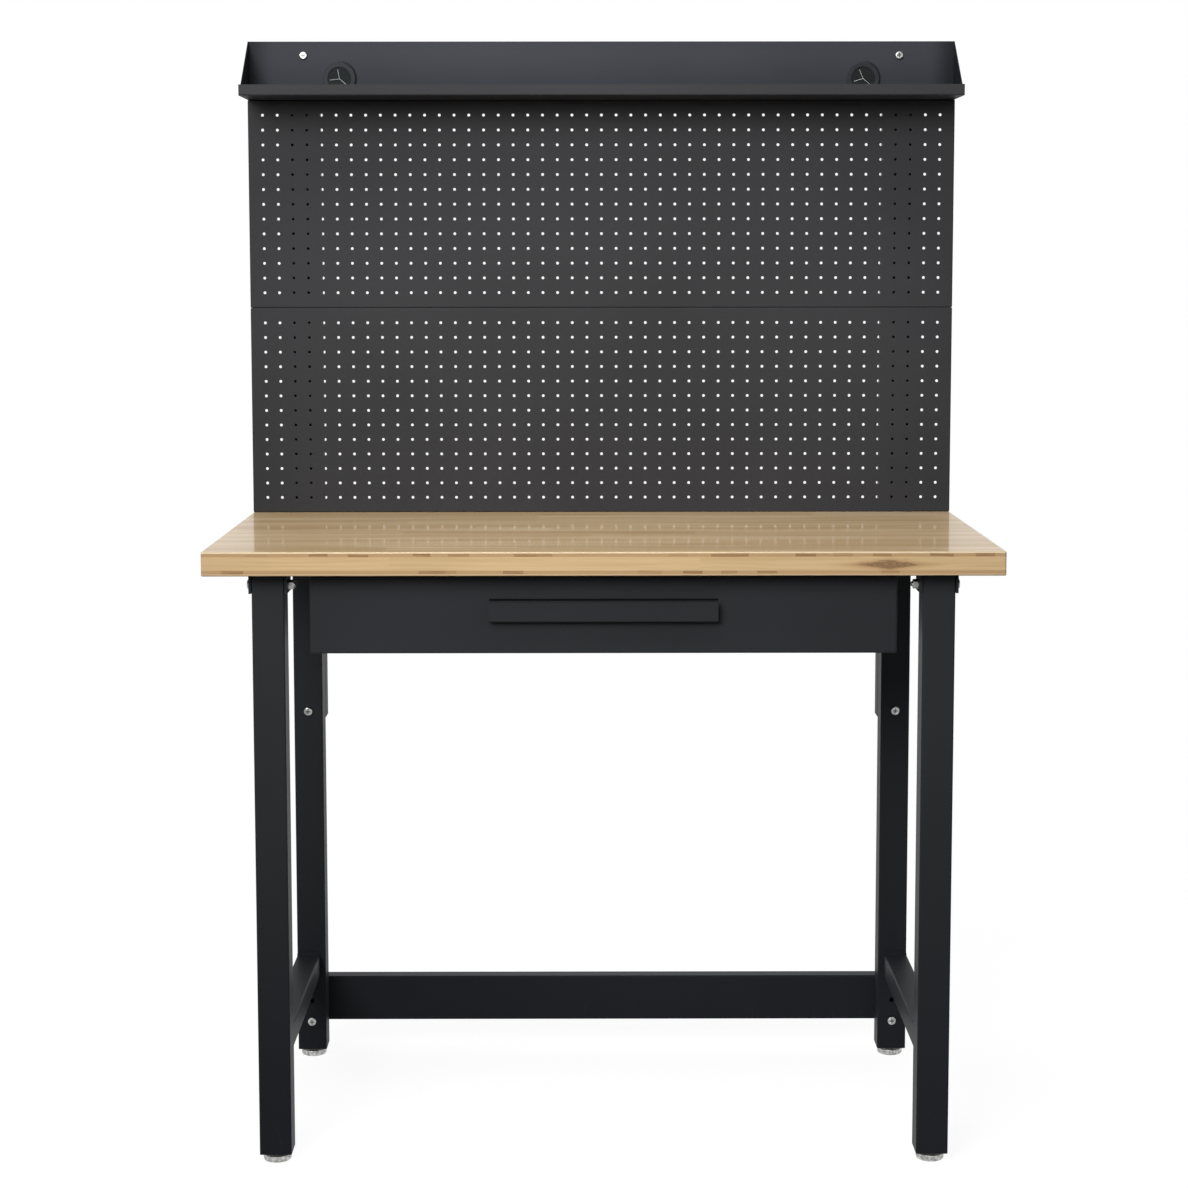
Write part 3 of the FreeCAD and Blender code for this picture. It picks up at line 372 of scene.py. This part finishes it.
# Powder coat: dark paint with a fine pebbled skin, a little cloudy, scuffed near the floor, and on the
# frame painted darker towards the floor as shade.
# rough is the least roughness of each paint, and the noises add to it.
paints = {
    "frame_paint": {
        "colour": tone(48, 50, 52), "lowShadeColour": tone(38, 40, 44), "rough": 0.36, "scuff": 0.08,
        "pebble": (even(1400.0), 2.0, 0.6), "speckle": (even(840.0), 1.0, 0.5), "depth": 0.00006,
    },
    "front_paint": {
        "colour": tone(48, 49, 52), "lowShadeColour": tone(48, 49, 52), "rough": 0.34, "scuff": 0.0,
        "pebble": (even(1500.0), 2.0, 0.6), "speckle": (even(900.0), 1.0, 0.5), "depth": 0.00005,
    },
    "panel_paint": {
        "colour": tone(54, 54, 56), "rough": 0.40, "scuff": 0.0,
        "pebble": (even(1300.0), 2.0, 0.6), "speckle": (even(780.0), 1.0, 0.5), "depth": 0.00005,
    },
}

# What the three paints share
powder = {
    "specular": 0.05,
    "lowShadeHeights": (0.05, 0.75),  # the low colour, painted shade on the frame, gives way to colour between these
    "clouds": (even(2.3), 3.0, 0.5),
    "cloudEdges": (0.3, 0.7),
    "cloudShare": 0.6,
    "darkest": (0.86, 0.86, 0.86, 1.0),
    "lightest": (1.16, 1.16, 1.16, 1.0),
    "waves": (even(260.0), 1.0, 0.5),
    "waveHeight": 0.5,
    "scuffs": ((90.0, 90.0, 22.0), 4.0, 0.65),
    "scuffEdges": (0.56, 0.7),
    "scuffHeights": (0.02, 0.11),
    "scuffColour": tone(96, 96, 94),
    "pebbleRough": 0.14,
    "cloudRough": 0.06,
    "scuffRough": 0.15,
}

# Tones of the shelf, which is sprayed in the panels' paint, with painted shade low on the back, at the
# inner ends and to the right of the grommets
shelf = {
    "low": 1.6841,
    "lipBack": 0.164,
    "lipColour": tone(57, 57, 59),
    "backShadeHeights": (1.703, 1.77),
    "backShadedLow": tone(50, 52, 58),
    "backHigh": tone(59, 61, 66),
    "ends": (0.565, 0.607),
    "endShade": 0.62,
    "grommets": ((-0.452, 1.7207), (0.452, 1.7207)),
    "grommetEdge": (0.0287, 0.0322),
    "grommetSide": (-0.008, 0.02),
    "grommetShade": 0.8,
}

# Painted shade: dark places that little light reaches, above the pull and on the posts behind the panels
paintedShade = {
    "pullHalf": 0.1755,
    "pullHeights": (0.8900, 0.8932),
    "postDepths": (0.2845, 0.2865),
    "postLow": 0.98,
    "colour": tone(10, 10, 12),
}

pegs = {
    "pitch": 0.0254,
    "rows": 13,
    "lowRows": (0.99625, 1.35315),
    "edge": 0.5969,
    "rim": (0.0024, 0.0035),
    "rimShade": 0.5,
    "rimColour": tone(72, 72, 74),
    "rimDepth": 6.0,
}


def shelfColour(graph, x, y, z):
    # the lip and the back have their own tones; the back is painted darker towards the bottom as shade, the
    # inner ends get painted shade and the grommets' right sides a painted shadow
    # painted shade: the back darker towards the bottom
    back = graph.mixed(z.rise(*shelf["backShadeHeights"]), shelf["backShadedLow"], shelf["backHigh"])
    # painted shade on the shelf's inner ends
    back = graph.mixed(abs(x).rise(*shelf["ends"]) * shelf["endShade"], back, paintedShade["colour"])
    # a painted shadow to the right of each grommet's ring
    for spotX, spotZ in shelf["grommets"]:
        across = x - spotX
        up = z - spotZ
        near = ((across * across + up * up) ** 0.5).fall(*shelf["grommetEdge"])
        shaded = near * across.rise(*shelf["grommetSide"]) * shelf["grommetShade"]
        back = graph.mixed(shaded, back, paintedShade["colour"])
    return graph.mixed(y < shelf["lipBack"], back, shelf["lipColour"])


def inPaintedShade(name, x, y, z):
    # 1 where shade is painted on this paint
    if name == "front_paint":
        low, high = paintedShade["pullHeights"]
        return (z > low) * (z < high) * (abs(x) < paintedShade["pullHalf"])
    front, back = paintedShade["postDepths"]
    return (y > front) * (y < back) * (z > paintedShade["postLow"])


def pegRims(x, z, lowRow):
    # 1 in a narrow ring round each hole of one panel, where the punch has drawn the sheet in
    pitch = pegs["pitch"]
    across = (x / pitch + 0.5).fraction() - 0.5
    up = ((z - lowRow) / pitch + 0.5).fraction() - 0.5
    far = (across * across + up * up) ** 0.5 * pitch
    onPanel = (z > lowRow - pitch / 2) * (z < lowRow + (pegs["rows"] - 0.5) * pitch)
    return far.fall(*pegs["rim"]) * onPanel * (abs(x) < pegs["edge"])


def pebbled(graph, name, x, y, z):
    # the colour, roughness and height that all the painted steel shares
    paint = paints[name]
    place = graph.place()
    if name == "panel_paint":
        colour = graph.mixed(z > shelf["low"], paint["colour"], shelfColour(graph, x, y, z))
    else:
        # on the frame the low colour is painted shade, darker towards the floor
        colour = graph.mixed(z.rise(*powder["lowShadeHeights"]), paint["lowShadeColour"], paint["colour"])
    clouds = graph.noise(place, powder["clouds"])
    speckle = graph.noise(place, paint["speckle"])
    pebble = graph.noise(place, paint["pebble"])
    waves = graph.noise(place, powder["waves"])
    cloudy = clouds.rise(*powder["cloudEdges"]) * powder["cloudShare"]
    uneven = graph.mixed(cloudy + speckle * (1.0 - powder["cloudShare"]), powder["darkest"],
                         powder["lightest"])
    shade = graph.mixed(1.0, colour, uneven, "MULTIPLY")
    scuffs = graph.noise(place, powder["scuffs"]).rise(*powder["scuffEdges"])
    worn = scuffs * z.fall(*powder["scuffHeights"]) * paint["scuff"]
    shade = graph.mixed(worn, shade, powder["scuffColour"])
    rough = pebble * powder["pebbleRough"] + clouds * powder["cloudRough"]
    rough = rough + worn * powder["scuffRough"] + paint["rough"]
    return shade, rough, pebble + waves * powder["waveHeight"]


def paintedSteel(name):
    def varying(graph):
        x, y, z = graph.parts(graph.place())
        shade, rough, height = pebbled(graph, name, x, y, z)
        if name == "panel_paint":
            lower, upper = [pegRims(x, z, lowRow) for lowRow in pegs["lowRows"]]
            shade = graph.mixed((lower + upper) * pegs["rimShade"], shade, pegs["rimColour"])
            height = height - (lower + upper) * pegs["rimDepth"]
        else:
            # painted shade above the pull and on the posts behind the panels
            shade = graph.mixed(inPaintedShade(name, x, y, z), shade, paintedShade["colour"])
        bumps = graph.bump(height, paints[name]["depth"])
        return {"Base Color": shade, "Roughness": rough, "Normal": bumps}

    return newFinish(name, varying, {"Specular IOR Level": powder["specular"]})


# Laminated wood: staves with their own tone, long grain along x, layered edges and one knot
wood = {
    "top": 0.970,
    "layers": (0.0024, 0.0076, 0.0286, 0.0335),  # depths where one layer gives way to the next
    "layerBlur": 0.0003,
    "layerWobble": 0.0008,
    "faceDepth": (0.0, 0.002),
    "arris": (0.0003, 0.001),
    "lowArris": (0.0353, 0.0368),
    "lowArrisShade": 0.8,
    "staveWidth": 0.043,
    "staveLength": 0.47,
    "stagger": 3.0,
    "firstStave": 50.0,
    "staveSeed": 0.5,
    "seam": (0.488, 0.5),
    "seamShade": 0.3,
    "rough": 0.42,
    "grainRough": 0.1,
    "poreRough": 0.1,
    "heights": {"grain": 0.5, "fine": 0.35, "pores": 0.8, "seam": 0.6},
    "depth": 0.00003,
    "coat": 0.4,
    "coatLow": (0.934, 0.937),
    "poreCoat": 0.1,
    "gloss": {"Specular IOR Level": 0.1, "Coat Roughness": 0.075, "Coat IOR": 1.5},
}

woodTones = {
    "veneer": tone(230, 206, 169),
    "veneerDark": tone(190, 163, 125),
    "heart": tone(188, 157, 114),
    # the arris: the veneer's own pale tone, made lighter as a painted highlight
    "arris": tone(230, 209, 173),
    "band": tone(184, 151, 108),
    "dash": tone(150, 114, 74),
    "core": tone(215, 184, 139),
    "coreDark": tone(190, 158, 112),
    "green": tone(178, 158, 106),
    "lowVeneer": tone(206, 175, 138),
    "shadow": tone(70, 52, 33),
}

# Noises of the wood, the limits between which each rises, and what bends or moves them
figure = {
    "bend": ((2.2, 9.0, 9.0), 2.0, 0.5),
    "grain": ((2.6, 190.0, 210.0), 4.0, 0.62),
    "grainShift": (40.0, 5.0, 4.0),
    "grainEdges": (0.3, 0.72),
    "coreGrainEdges": (0.35, 0.7),
    "fine": ((12.0, 900.0, 900.0), 2.0, 0.5),
    "pores": ((55.0, 1500.0, 1500.0), 1.0, 0.5),
    "poreEdges": (0.62, 0.75),
    "streaks": ((1.1, 30.0, 20.0), 4.0, 0.6),
    "streakShift": 7.0,
    "streakEdges": (0.5, 0.7),
    "broad": ((1.3, 24.0, 0.0), 2.0, 0.5),
    "broadShift": (1.5, 5.0),
    "broadEdges": (0.4, 0.62),
    "blocks": ((5.2, 5.2, 0.0), 1.0, 0.5),
    "blockShift": (0.0, 0.0, 3.0),
    "blockEdges": (0.45, 0.62),
    "wobble": ((9.0, 9.0, 0.0), 1.0, 0.5),
}

# How much of each noise goes into the colour of the top, the core and the lowest layer
shares = {
    "topGrain": 0.75,
    "topFine": 0.25,
    "stave": 0.4,
    "broad": 0.5,
    "streaks": 0.45,
    "pores": 0.22,
    "coreGrain": 0.5,
    "coreFine": 0.2,
    "blocks": 0.16,
    "lowGrain": 0.5,
}

# Brown dashes along the two thin layers of the edge: a seed and the share left bare for each
dash = {
    "upper": (3.1, 0.5),
    "lower": (17.7, 0.66),
    "perMetre": 33.0,
    "lean": 0.6,
    "range": 0.25,
    "fray": ((14.0, 1.0, 900.0), 3.0, 0.5),
    "frayEdges": (0.3, 0.55),
}

knot = {
    "x": 0.4315,
    "z": 0.9503,
    "halfLength": 0.056,
    "halfHeight": 0.0078,
    "front": (-0.3235, -0.3215),
    "waves": ((45.0, 0.0, 260.0), 4.0, 0.65),
    "bentHeight": 0.9,
    "bentReach": 0.5,
    "pointed": 1.15,
    "lines": 5.0,
    "bentLines": 3.0,
    "lineEdges": (0.08, 0.4),
    "halo": (0.85, 1.9),
    "haloShade": 0.42,
    "inside": (0.65, 1.1),
    "plainShade": 0.4,
    "lineShade": 0.5,
    "colour": tone(104, 74, 46),
    "haloColour": tone(166, 120, 78),
}


def dashes(graph, x, y, z, seed, bare):
    # brown stretches of uneven length and depth along a layer, hard at their ends
    along = (x + y * dash["lean"]) * dash["perMetre"] + seed
    cells = graph.add("ShaderNodeTexVoronoi", {"voronoi_dimensions": "1D"}, {"W": along, "Scale": 1.0},
                      "Color")
    chosen = graph.parts(cells)[0]
    frayed = graph.noise(graph.joined(x + y, seed, z), dash["fray"])
    return chosen.rise(bare, bare + dash["range"]) * frayed.rise(*dash["frayEdges"])


def knotted(graph, place, shade):
    # pointed spindle on the front edge, with dark lines that follow its outline
    x, y, z = graph.parts(place)
    wavy = graph.noise(place, knot["waves"]) - 0.5
    across = abs((x - knot["x"]) / knot["halfLength"])
    up = abs((z - knot["z"]) / knot["halfHeight"] + wavy * knot["bentHeight"])
    reach = across + up ** knot["pointed"] + wavy * knot["bentReach"]
    onFront = y.fall(*knot["front"])
    lines = abs((reach * knot["lines"] + wavy * knot["bentLines"]).fraction() - 0.5)
    halo = reach.fall(*knot["halo"], knot["haloShade"]) * onFront
    inside = reach.fall(*knot["inside"]) * onFront
    dark = inside * (lines.rise(*knot["lineEdges"]) * knot["lineShade"] + knot["plainShade"])
    return graph.mixed(dark, graph.mixed(halo, shade, knot["haloColour"]), knot["colour"])


def staves(graph, x, y):
    # the row a point is in, its stave's random number, and how near it is to the next row
    rows = y / wood["staveWidth"] + wood["firstStave"]
    row = rows.floor()
    shift = graph.add("ShaderNodeTexWhiteNoise", {"noise_dimensions": "1D"}, {"W": row}, "Value")
    column = (x / wood["staveLength"] + shift * wood["stagger"] + wood["firstStave"]).floor()
    stave = graph.add("ShaderNodeTexWhiteNoise", {"noise_dimensions": "3D"},
                      {"Vector": graph.joined(row, column, wood["staveSeed"])}, "Value")
    return row, stave, abs(rows.fraction() - 0.5).rise(*wood["seam"])


def woodSockets(graph):
    place = graph.place()
    x, y, z = graph.parts(place)
    row, stave, seam = staves(graph, x, y)
    bent = graph.noise(place, figure["bend"])
    byStave, byBendY, byBendZ = figure["grainShift"]
    grainShift = graph.joined(stave * byStave, bent * byBendY, bent * byBendZ)
    grain = graph.noise(place, figure["grain"], grainShift)
    fine = graph.noise(place, figure["fine"])
    pores = graph.noise(place, figure["pores"]).rise(*figure["poreEdges"])
    streakShift = graph.joined(row * figure["streakShift"], 0.0, 0.0)
    streaks = graph.noise(place, figure["streaks"], streakShift).rise(*figure["streakEdges"])
    byBend, broadSeed = figure["broadShift"]
    broadShift = graph.joined(0.0, bent * byBend, broadSeed)
    broad = graph.noise(place, figure["broad"], broadShift).rise(*figure["broadEdges"])
    blocks = graph.noise(place, figure["blocks"], figure["blockShift"]).rise(*figure["blockEdges"])

    grainy = grain.rise(*figure["grainEdges"]) * shares["topGrain"] + fine * shares["topFine"]
    top = graph.mixed(grainy, woodTones["veneer"], woodTones["veneerDark"])
    top = graph.mixed(stave * shares["stave"] + broad * shares["broad"], top, woodTones["heart"])
    top = graph.mixed(streaks * shares["streaks"], top, woodTones["dash"])
    top = graph.mixed(pores * shares["pores"], top, woodTones["dash"])
    coreGrainy = grain.rise(*figure["coreGrainEdges"]) * shares["coreGrain"] + fine * shares["coreFine"]
    core = graph.mixed(coreGrainy, woodTones["core"], woodTones["coreDark"])
    core = graph.mixed(blocks * shares["blocks"], core, woodTones["green"])
    upper, lower = [graph.mixed(dashes(graph, x, y, z, *dash[name]), woodTones["band"], woodTones["dash"])
                    for name in ("upper", "lower")]
    lowest = graph.mixed(grain * shares["lowGrain"], woodTones["lowVeneer"], woodTones["veneerDark"])

    # the veneer's pale tone over the front arris, made lighter as a painted highlight
    shade = graph.mixed((wood["top"] - z).rise(*wood["arris"]), top, woodTones["arris"])
    wobble = (graph.noise(place, figure["wobble"]) - 0.5) * wood["layerWobble"]
    depth = wood["top"] - z + wobble
    blur = wood["layerBlur"]
    for line, layer in zip(wood["layers"], (upper, core, lower, lowest)):
        shade = graph.mixed(depth.rise(line - blur, line + blur), shade, layer)
    shade = graph.mixed(depth.rise(*wood["lowArris"]) * wood["lowArrisShade"], shade, woodTones["shadow"])
    shade = knotted(graph, place, shade)

    topSeam = seam * depth.fall(*wood["faceDepth"])
    heights = wood["heights"]
    height = grain * heights["grain"] + fine * heights["fine"] - pores * heights["pores"]
    return {
        "Base Color": graph.mixed(topSeam * wood["seamShade"], shade, woodTones["dash"]),
        "Roughness": grain * wood["grainRough"] + pores * wood["poreRough"] + wood["rough"],
        "Normal": graph.bump(height - topSeam * heights["seam"], wood["depth"]),
        "Coat Weight": (wood["coat"] - pores * wood["poreCoat"]) * z.rise(*wood["coatLow"]),
    }


# Bare metal: bright zinc on the hardware, duller rolled steel on the slides
metals = {
    "zinc": {"colour": tone(204, 204, 202), "dull": tone(120, 120, 118),
             "clouds": (even(200.0), 3.0, 0.5), "brushed": (even(700.0), 3.0, 0.5)},
    "slide_steel": {"colour": tone(190, 191, 192), "dull": tone(158, 160, 162),
                    "clouds": (even(70.0), 3.0, 0.5), "brushed": ((900.0, 27.0, 900.0), 3.0, 0.5)},
}

# What both metals share: the flakes of their skin, and how much each noise dulls or roughens it
patina = {
    "flakes": 260.0,
    "cloudEdges": (0.36, 0.62),
    "cloudShare": 0.6,
    "flakeShare": 0.25,
    "brushedShare": 0.15,
    "rough": 0.2,
    "brushedRough": 0.16,
    "cloudRough": 0.1,
    "depth": 0.00002,
}

# Heads that face the front: painted shade in a cross recess and a painted dark reflection round the rim of
# each
heads = {
    "x": 0.514,
    "heights": (0.066, 0.6235, 0.870, 1.7002, 1.7602),
    "front": 0.285,
    "arm": (0.0006, 0.0013),
    "reach": (0.0034, 0.0042),
    "rim": (0.0058, 0.0080),
    "room": 0.012,
    "shade": 0.85,
    "colour": tone(52, 52, 52),
}


def headShadeMark(across, up):
    # 1 in the cross and on the rim of one head, where shade and a dark reflection are painted
    inArm = across.smaller(up).fall(*heads["arm"])
    cross = inArm * across.larger(up).fall(*heads["reach"])
    far = (across * across + up * up) ** 0.5
    return cross.larger(far.rise(*heads["rim"]) * (far < heads["room"]))


def headShadeMarks(x, y, z):
    across = abs(abs(x) - heads["x"])
    marks = headShadeMark(across, abs(z - heads["heights"][0]))
    for height in heads["heights"][1:]:
        marks = marks.larger(headShadeMark(across, abs(z - height)))
    return marks * (y < heads["front"]) * heads["shade"]


def bareMetal(name):
    metal = metals[name]

    def varying(graph):
        place = graph.place()
        clouds = graph.noise(place, metal["clouds"])
        brushed = graph.noise(place, metal["brushed"])
        cells = graph.add("ShaderNodeTexVoronoi", {}, {"Vector": place, "Scale": patina["flakes"]}, "Color")
        flakes = graph.parts(cells)[0]
        dulled = clouds.rise(*patina["cloudEdges"]) * patina["cloudShare"]
        dulled = dulled + flakes * patina["flakeShare"] + brushed * patina["brushedShare"]
        shade = graph.mixed(dulled, metal["colour"], metal["dull"])
        if name == "zinc":
            # painted shade in the heads' cross recesses and a painted dark reflection round their rims
            shade = graph.mixed(headShadeMarks(*graph.parts(place)), shade, heads["colour"])
        rough = brushed * patina["brushedRough"] + clouds * patina["cloudRough"] + patina["rough"]
        return {"Base Color": shade, "Roughness": rough, "Normal": graph.bump(brushed, patina["depth"])}

    return newFinish(name, varying, {"Metallic": 1.0})


# Moulded black parts of the grommets; rough is the least roughness of each
mouldings = {
    "black_plastic": {"colour": tone(40, 41, 45), "rough": 0.34},
    "black_rubber": {"colour": tone(26, 29, 30), "rough": 0.54},
}

# What both share: fine pits, and a pale bloom in patches
moulded = {
    "specular": 0.08,
    "pits": (even(2400.0), 2.0, 0.5),
    "bloom": (even(60.0), 3.0, 0.5),
    "bloomEdges": (0.4, 0.75),
    "bloomShare": 0.4,
    "pitShare": 0.2,
    "paler": 1.7,
    "pitRough": 0.12,
    "bloomRough": 0.1,
    "depth": 0.00003,
}


def blackMoulding(name):
    moulding = mouldings[name]

    def varying(graph):
        place = graph.place()
        pits = graph.noise(place, moulded["pits"])
        bloom = graph.noise(place, moulded["bloom"]).rise(*moulded["bloomEdges"])
        patchy = bloom * moulded["bloomShare"] + pits * moulded["pitShare"]
        shade = graph.mixed(patchy, moulding["colour"], scaled(moulding["colour"], moulded["paler"]))
        rough = pits * moulded["pitRough"] + bloom * moulded["bloomRough"] + moulding["rough"]
        return {"Base Color": shade, "Roughness": rough, "Normal": graph.bump(pits, moulded["depth"])}

    return newFinish(name, varying, {"Specular IOR Level": moulded["specular"]})


finishes = {name: paintedSteel(name) for name in paints}
finishes["laminated_wood"] = newFinish("laminated_wood", woodSockets, wood["gloss"])
finishes.update({name: bareMetal(name) for name in metals})
finishes.update({name: blackMoulding(name) for name in mouldings})


def dressNodes():
    for subpart in frame["record"]["subparts"]:
        item = frame["nodes"][subpart["node"]]
        finish = finishes[subpart["material_slot"]]
        if not item.material_slots:
            item.data.materials.append(finish)
        for slot in item.material_slots:
            slot.material = finish


dressNodes()
print("finishes ready")


# Weld beads: a row of overlapping ripples, laid where the side stretchers' tubes meet their plates
weld = {
    "width": 0.0042,
    "step": 0.0024,
    "ripple": 0.22,
    "uneven": (0.88, 1.1),
    "unevenSteps": 9,
    "fullness": 0.72,
    "taper": 0.5,
    "turn": (-0.25, 0.75),
    "around": 10,
    "perStep": 6,
    "fewest": 8,
    "seedStep": 10,
    "tubeTop": 0.187,
    "tubeInner": 0.4990,
    "tubeOuter": 0.5390,
    "plateFaces": (-0.232, 0.232),
    "legFaces": (-0.235, 0.235),
    "plateLow": 0.147,
    "inset": 0.005,
}


def bead(start, end, into, seed):
    # Half-round seam from start to end: at a distance t along it the bead's radius is
    # fullness * width / 2 * (1 + ripple * |sin(pi * t / step)|), a little uneven, and it tapers
    # to zero at both ends. into holds the two directions of the corner that the bead fills.
    start, end = np.array(start), np.array(end)
    radius = weld["width"] / 2
    length = np.linalg.norm(end - start)
    along = np.linspace(0.0, 1.0, max(weld["fewest"], int(length / weld["step"] * weld["perStep"])))
    turn = np.linspace(*weld["turn"], weld["around"]) * math.pi
    steps = weld["unevenSteps"]
    generator = np.random.default_rng(seed)
    uneven = np.interp(along, np.linspace(0, 1, steps), generator.uniform(*weld["uneven"], steps))
    wave = 1.0 + weld["ripple"] * np.abs(np.sin(math.pi * along * length / weld["step"]))
    taper = np.clip(np.minimum(along, 1.0 - along) * length / radius, 0.0, 1.0) ** weld["taper"]
    size = radius * uneven * wave * taper
    first, second = (np.array(way) for way in into)
    ring = np.cos(turn)[:, None] * first + np.sin(turn)[:, None] * second
    spine = start + along[:, None] * (end - start)
    return spine[:, None, :] + size[:, None, None] * ring[None, :, :] * weld["fullness"]


def makeWelds(side, name):
    parts = []
    inner = side * (weld["tubeInner"] + weld["inset"])
    outer = side * (weld["tubeOuter"] - weld["inset"])
    top, low = weld["tubeTop"], weld["plateLow"]
    for number, (plate, leg) in enumerate(zip(weld["plateFaces"], weld["legFaces"])):
        back = 1.0 if plate < 0 else -1.0
        seams = [
            ((inner, plate, top), (outer, plate, top), ((0, back, 0), (0, 0, 1))),
            ((inner, leg, low), (outer, leg, low), ((0, back, 0), (0, 0, -1))),
        ]
        for place, (start, end, into) in enumerate(seams):
            parts.append(cappedTube(bead(start, end, into, number * weld["seedStep"] + place)))
    item = makeObject(name, parts, finishes["frame_paint"])
    turnOutwards(item)
    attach(item, "frame")


makeWelds(-1, "weld_beads_left")
makeWelds(1, "weld_beads_right")
print("welds ready")


# Screw threads: a helical ridge round each levelling stem and on each bolt end beyond its nut
threads = {
    "around": 28,
    "perPitch": 7,
    "fewest": 6,
    "sunk": 0.00008,
    "fade": 0.5,
    "aside": (0.3, 0.5, 0.8),  # any direction that no thread runs in
    "foot": {"x": 0.514, "y": 0.260, "low": 0.0136, "high": 0.0515, "radius": 0.005, "ridge": 0.00034,
             "pitch": 0.0015},
    "bolt": {"radius": 0.004, "ridge": 0.00028, "pitch": 0.00125},
}

boltEndPlaces = {
    "length": 0.0020,
    "bracketX": 0.4764,
    "bracketY": 0.260,
    "bracketZ": 0.9125,
    "frameX": 0.514,
    "frameY": 0.2951,
    "frameZ": (0.066, 0.6235, 0.870),
}


def thread(start, way, length, size):
    # Ridge round an axis: at angle a and distance t the radius is the core's plus
    # ridge * (0.5 + 0.5 * cos(2 * pi * t / pitch - a)), faded out over the last half turn.
    # The core is a little inside the solid, so the ridge grows out of it.
    way = np.array(way, float)
    side = np.cross(way, threads["aside"])
    side /= np.linalg.norm(side)
    other = np.cross(way, side)
    rows = max(threads["fewest"], int(length / size["pitch"] * threads["perPitch"]))
    along = np.linspace(0.0, length, rows)
    angle = np.linspace(0.0, 2 * math.pi, threads["around"], endpoint=False)
    wave = 0.5 + 0.5 * np.cos(2 * math.pi * along[:, None] / size["pitch"] - angle[None, :])
    fade = np.clip(np.minimum(along, length - along) / (size["pitch"] * threads["fade"]), 0.0, 1.0)
    core = size["radius"] - threads["sunk"]
    radius = core + (size["ridge"] + threads["sunk"]) * wave * fade[:, None]
    ring = np.cos(angle)[:, None] * side + np.sin(angle)[:, None] * other
    return np.array(start) + along[:, None, None] * way + radius[:, :, None] * ring[None, :, :]


def boltEnds():
    # where each bolt comes out of its nut, and the way it points
    spots = boltEndPlaces
    crosswise = [((side * spots["bracketX"], y * spots["bracketY"], spots["bracketZ"]), (-side, 0, 0))
                 for side in (-1, 1) for y in (-1, 1)]
    backwards = [((side * spots["frameX"], spots["frameY"], z), (0, 1, 0))
                 for side in (-1, 1) for z in spots["frameZ"]]
    return crosswise + backwards


def makeThreads():
    foot = threads["foot"]
    for endName, y in (("front", -1), ("rear", 1)):
        for sideName, x in (("left", -1), ("right", 1)):
            low = (x * foot["x"], y * foot["y"], foot["low"])
            stem = cappedTube(thread(low, (0, 0, 1), foot["high"] - foot["low"], foot))
            item = makeObject(f"stem_thread_{endName}_{sideName}", [stem], finishes["zinc"])
            turnOutwards(item)
            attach(item, f"foot_{endName}_{sideName}")
    parts = [cappedTube(thread(start, way, boltEndPlaces["length"], threads["bolt"]))
             for start, way in boltEnds()]
    item = makeObject("bolt_end_threads", parts, finishes["zinc"])
    turnOutwards(item)
    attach(item, "frame")


makeThreads()
print("threads ready")
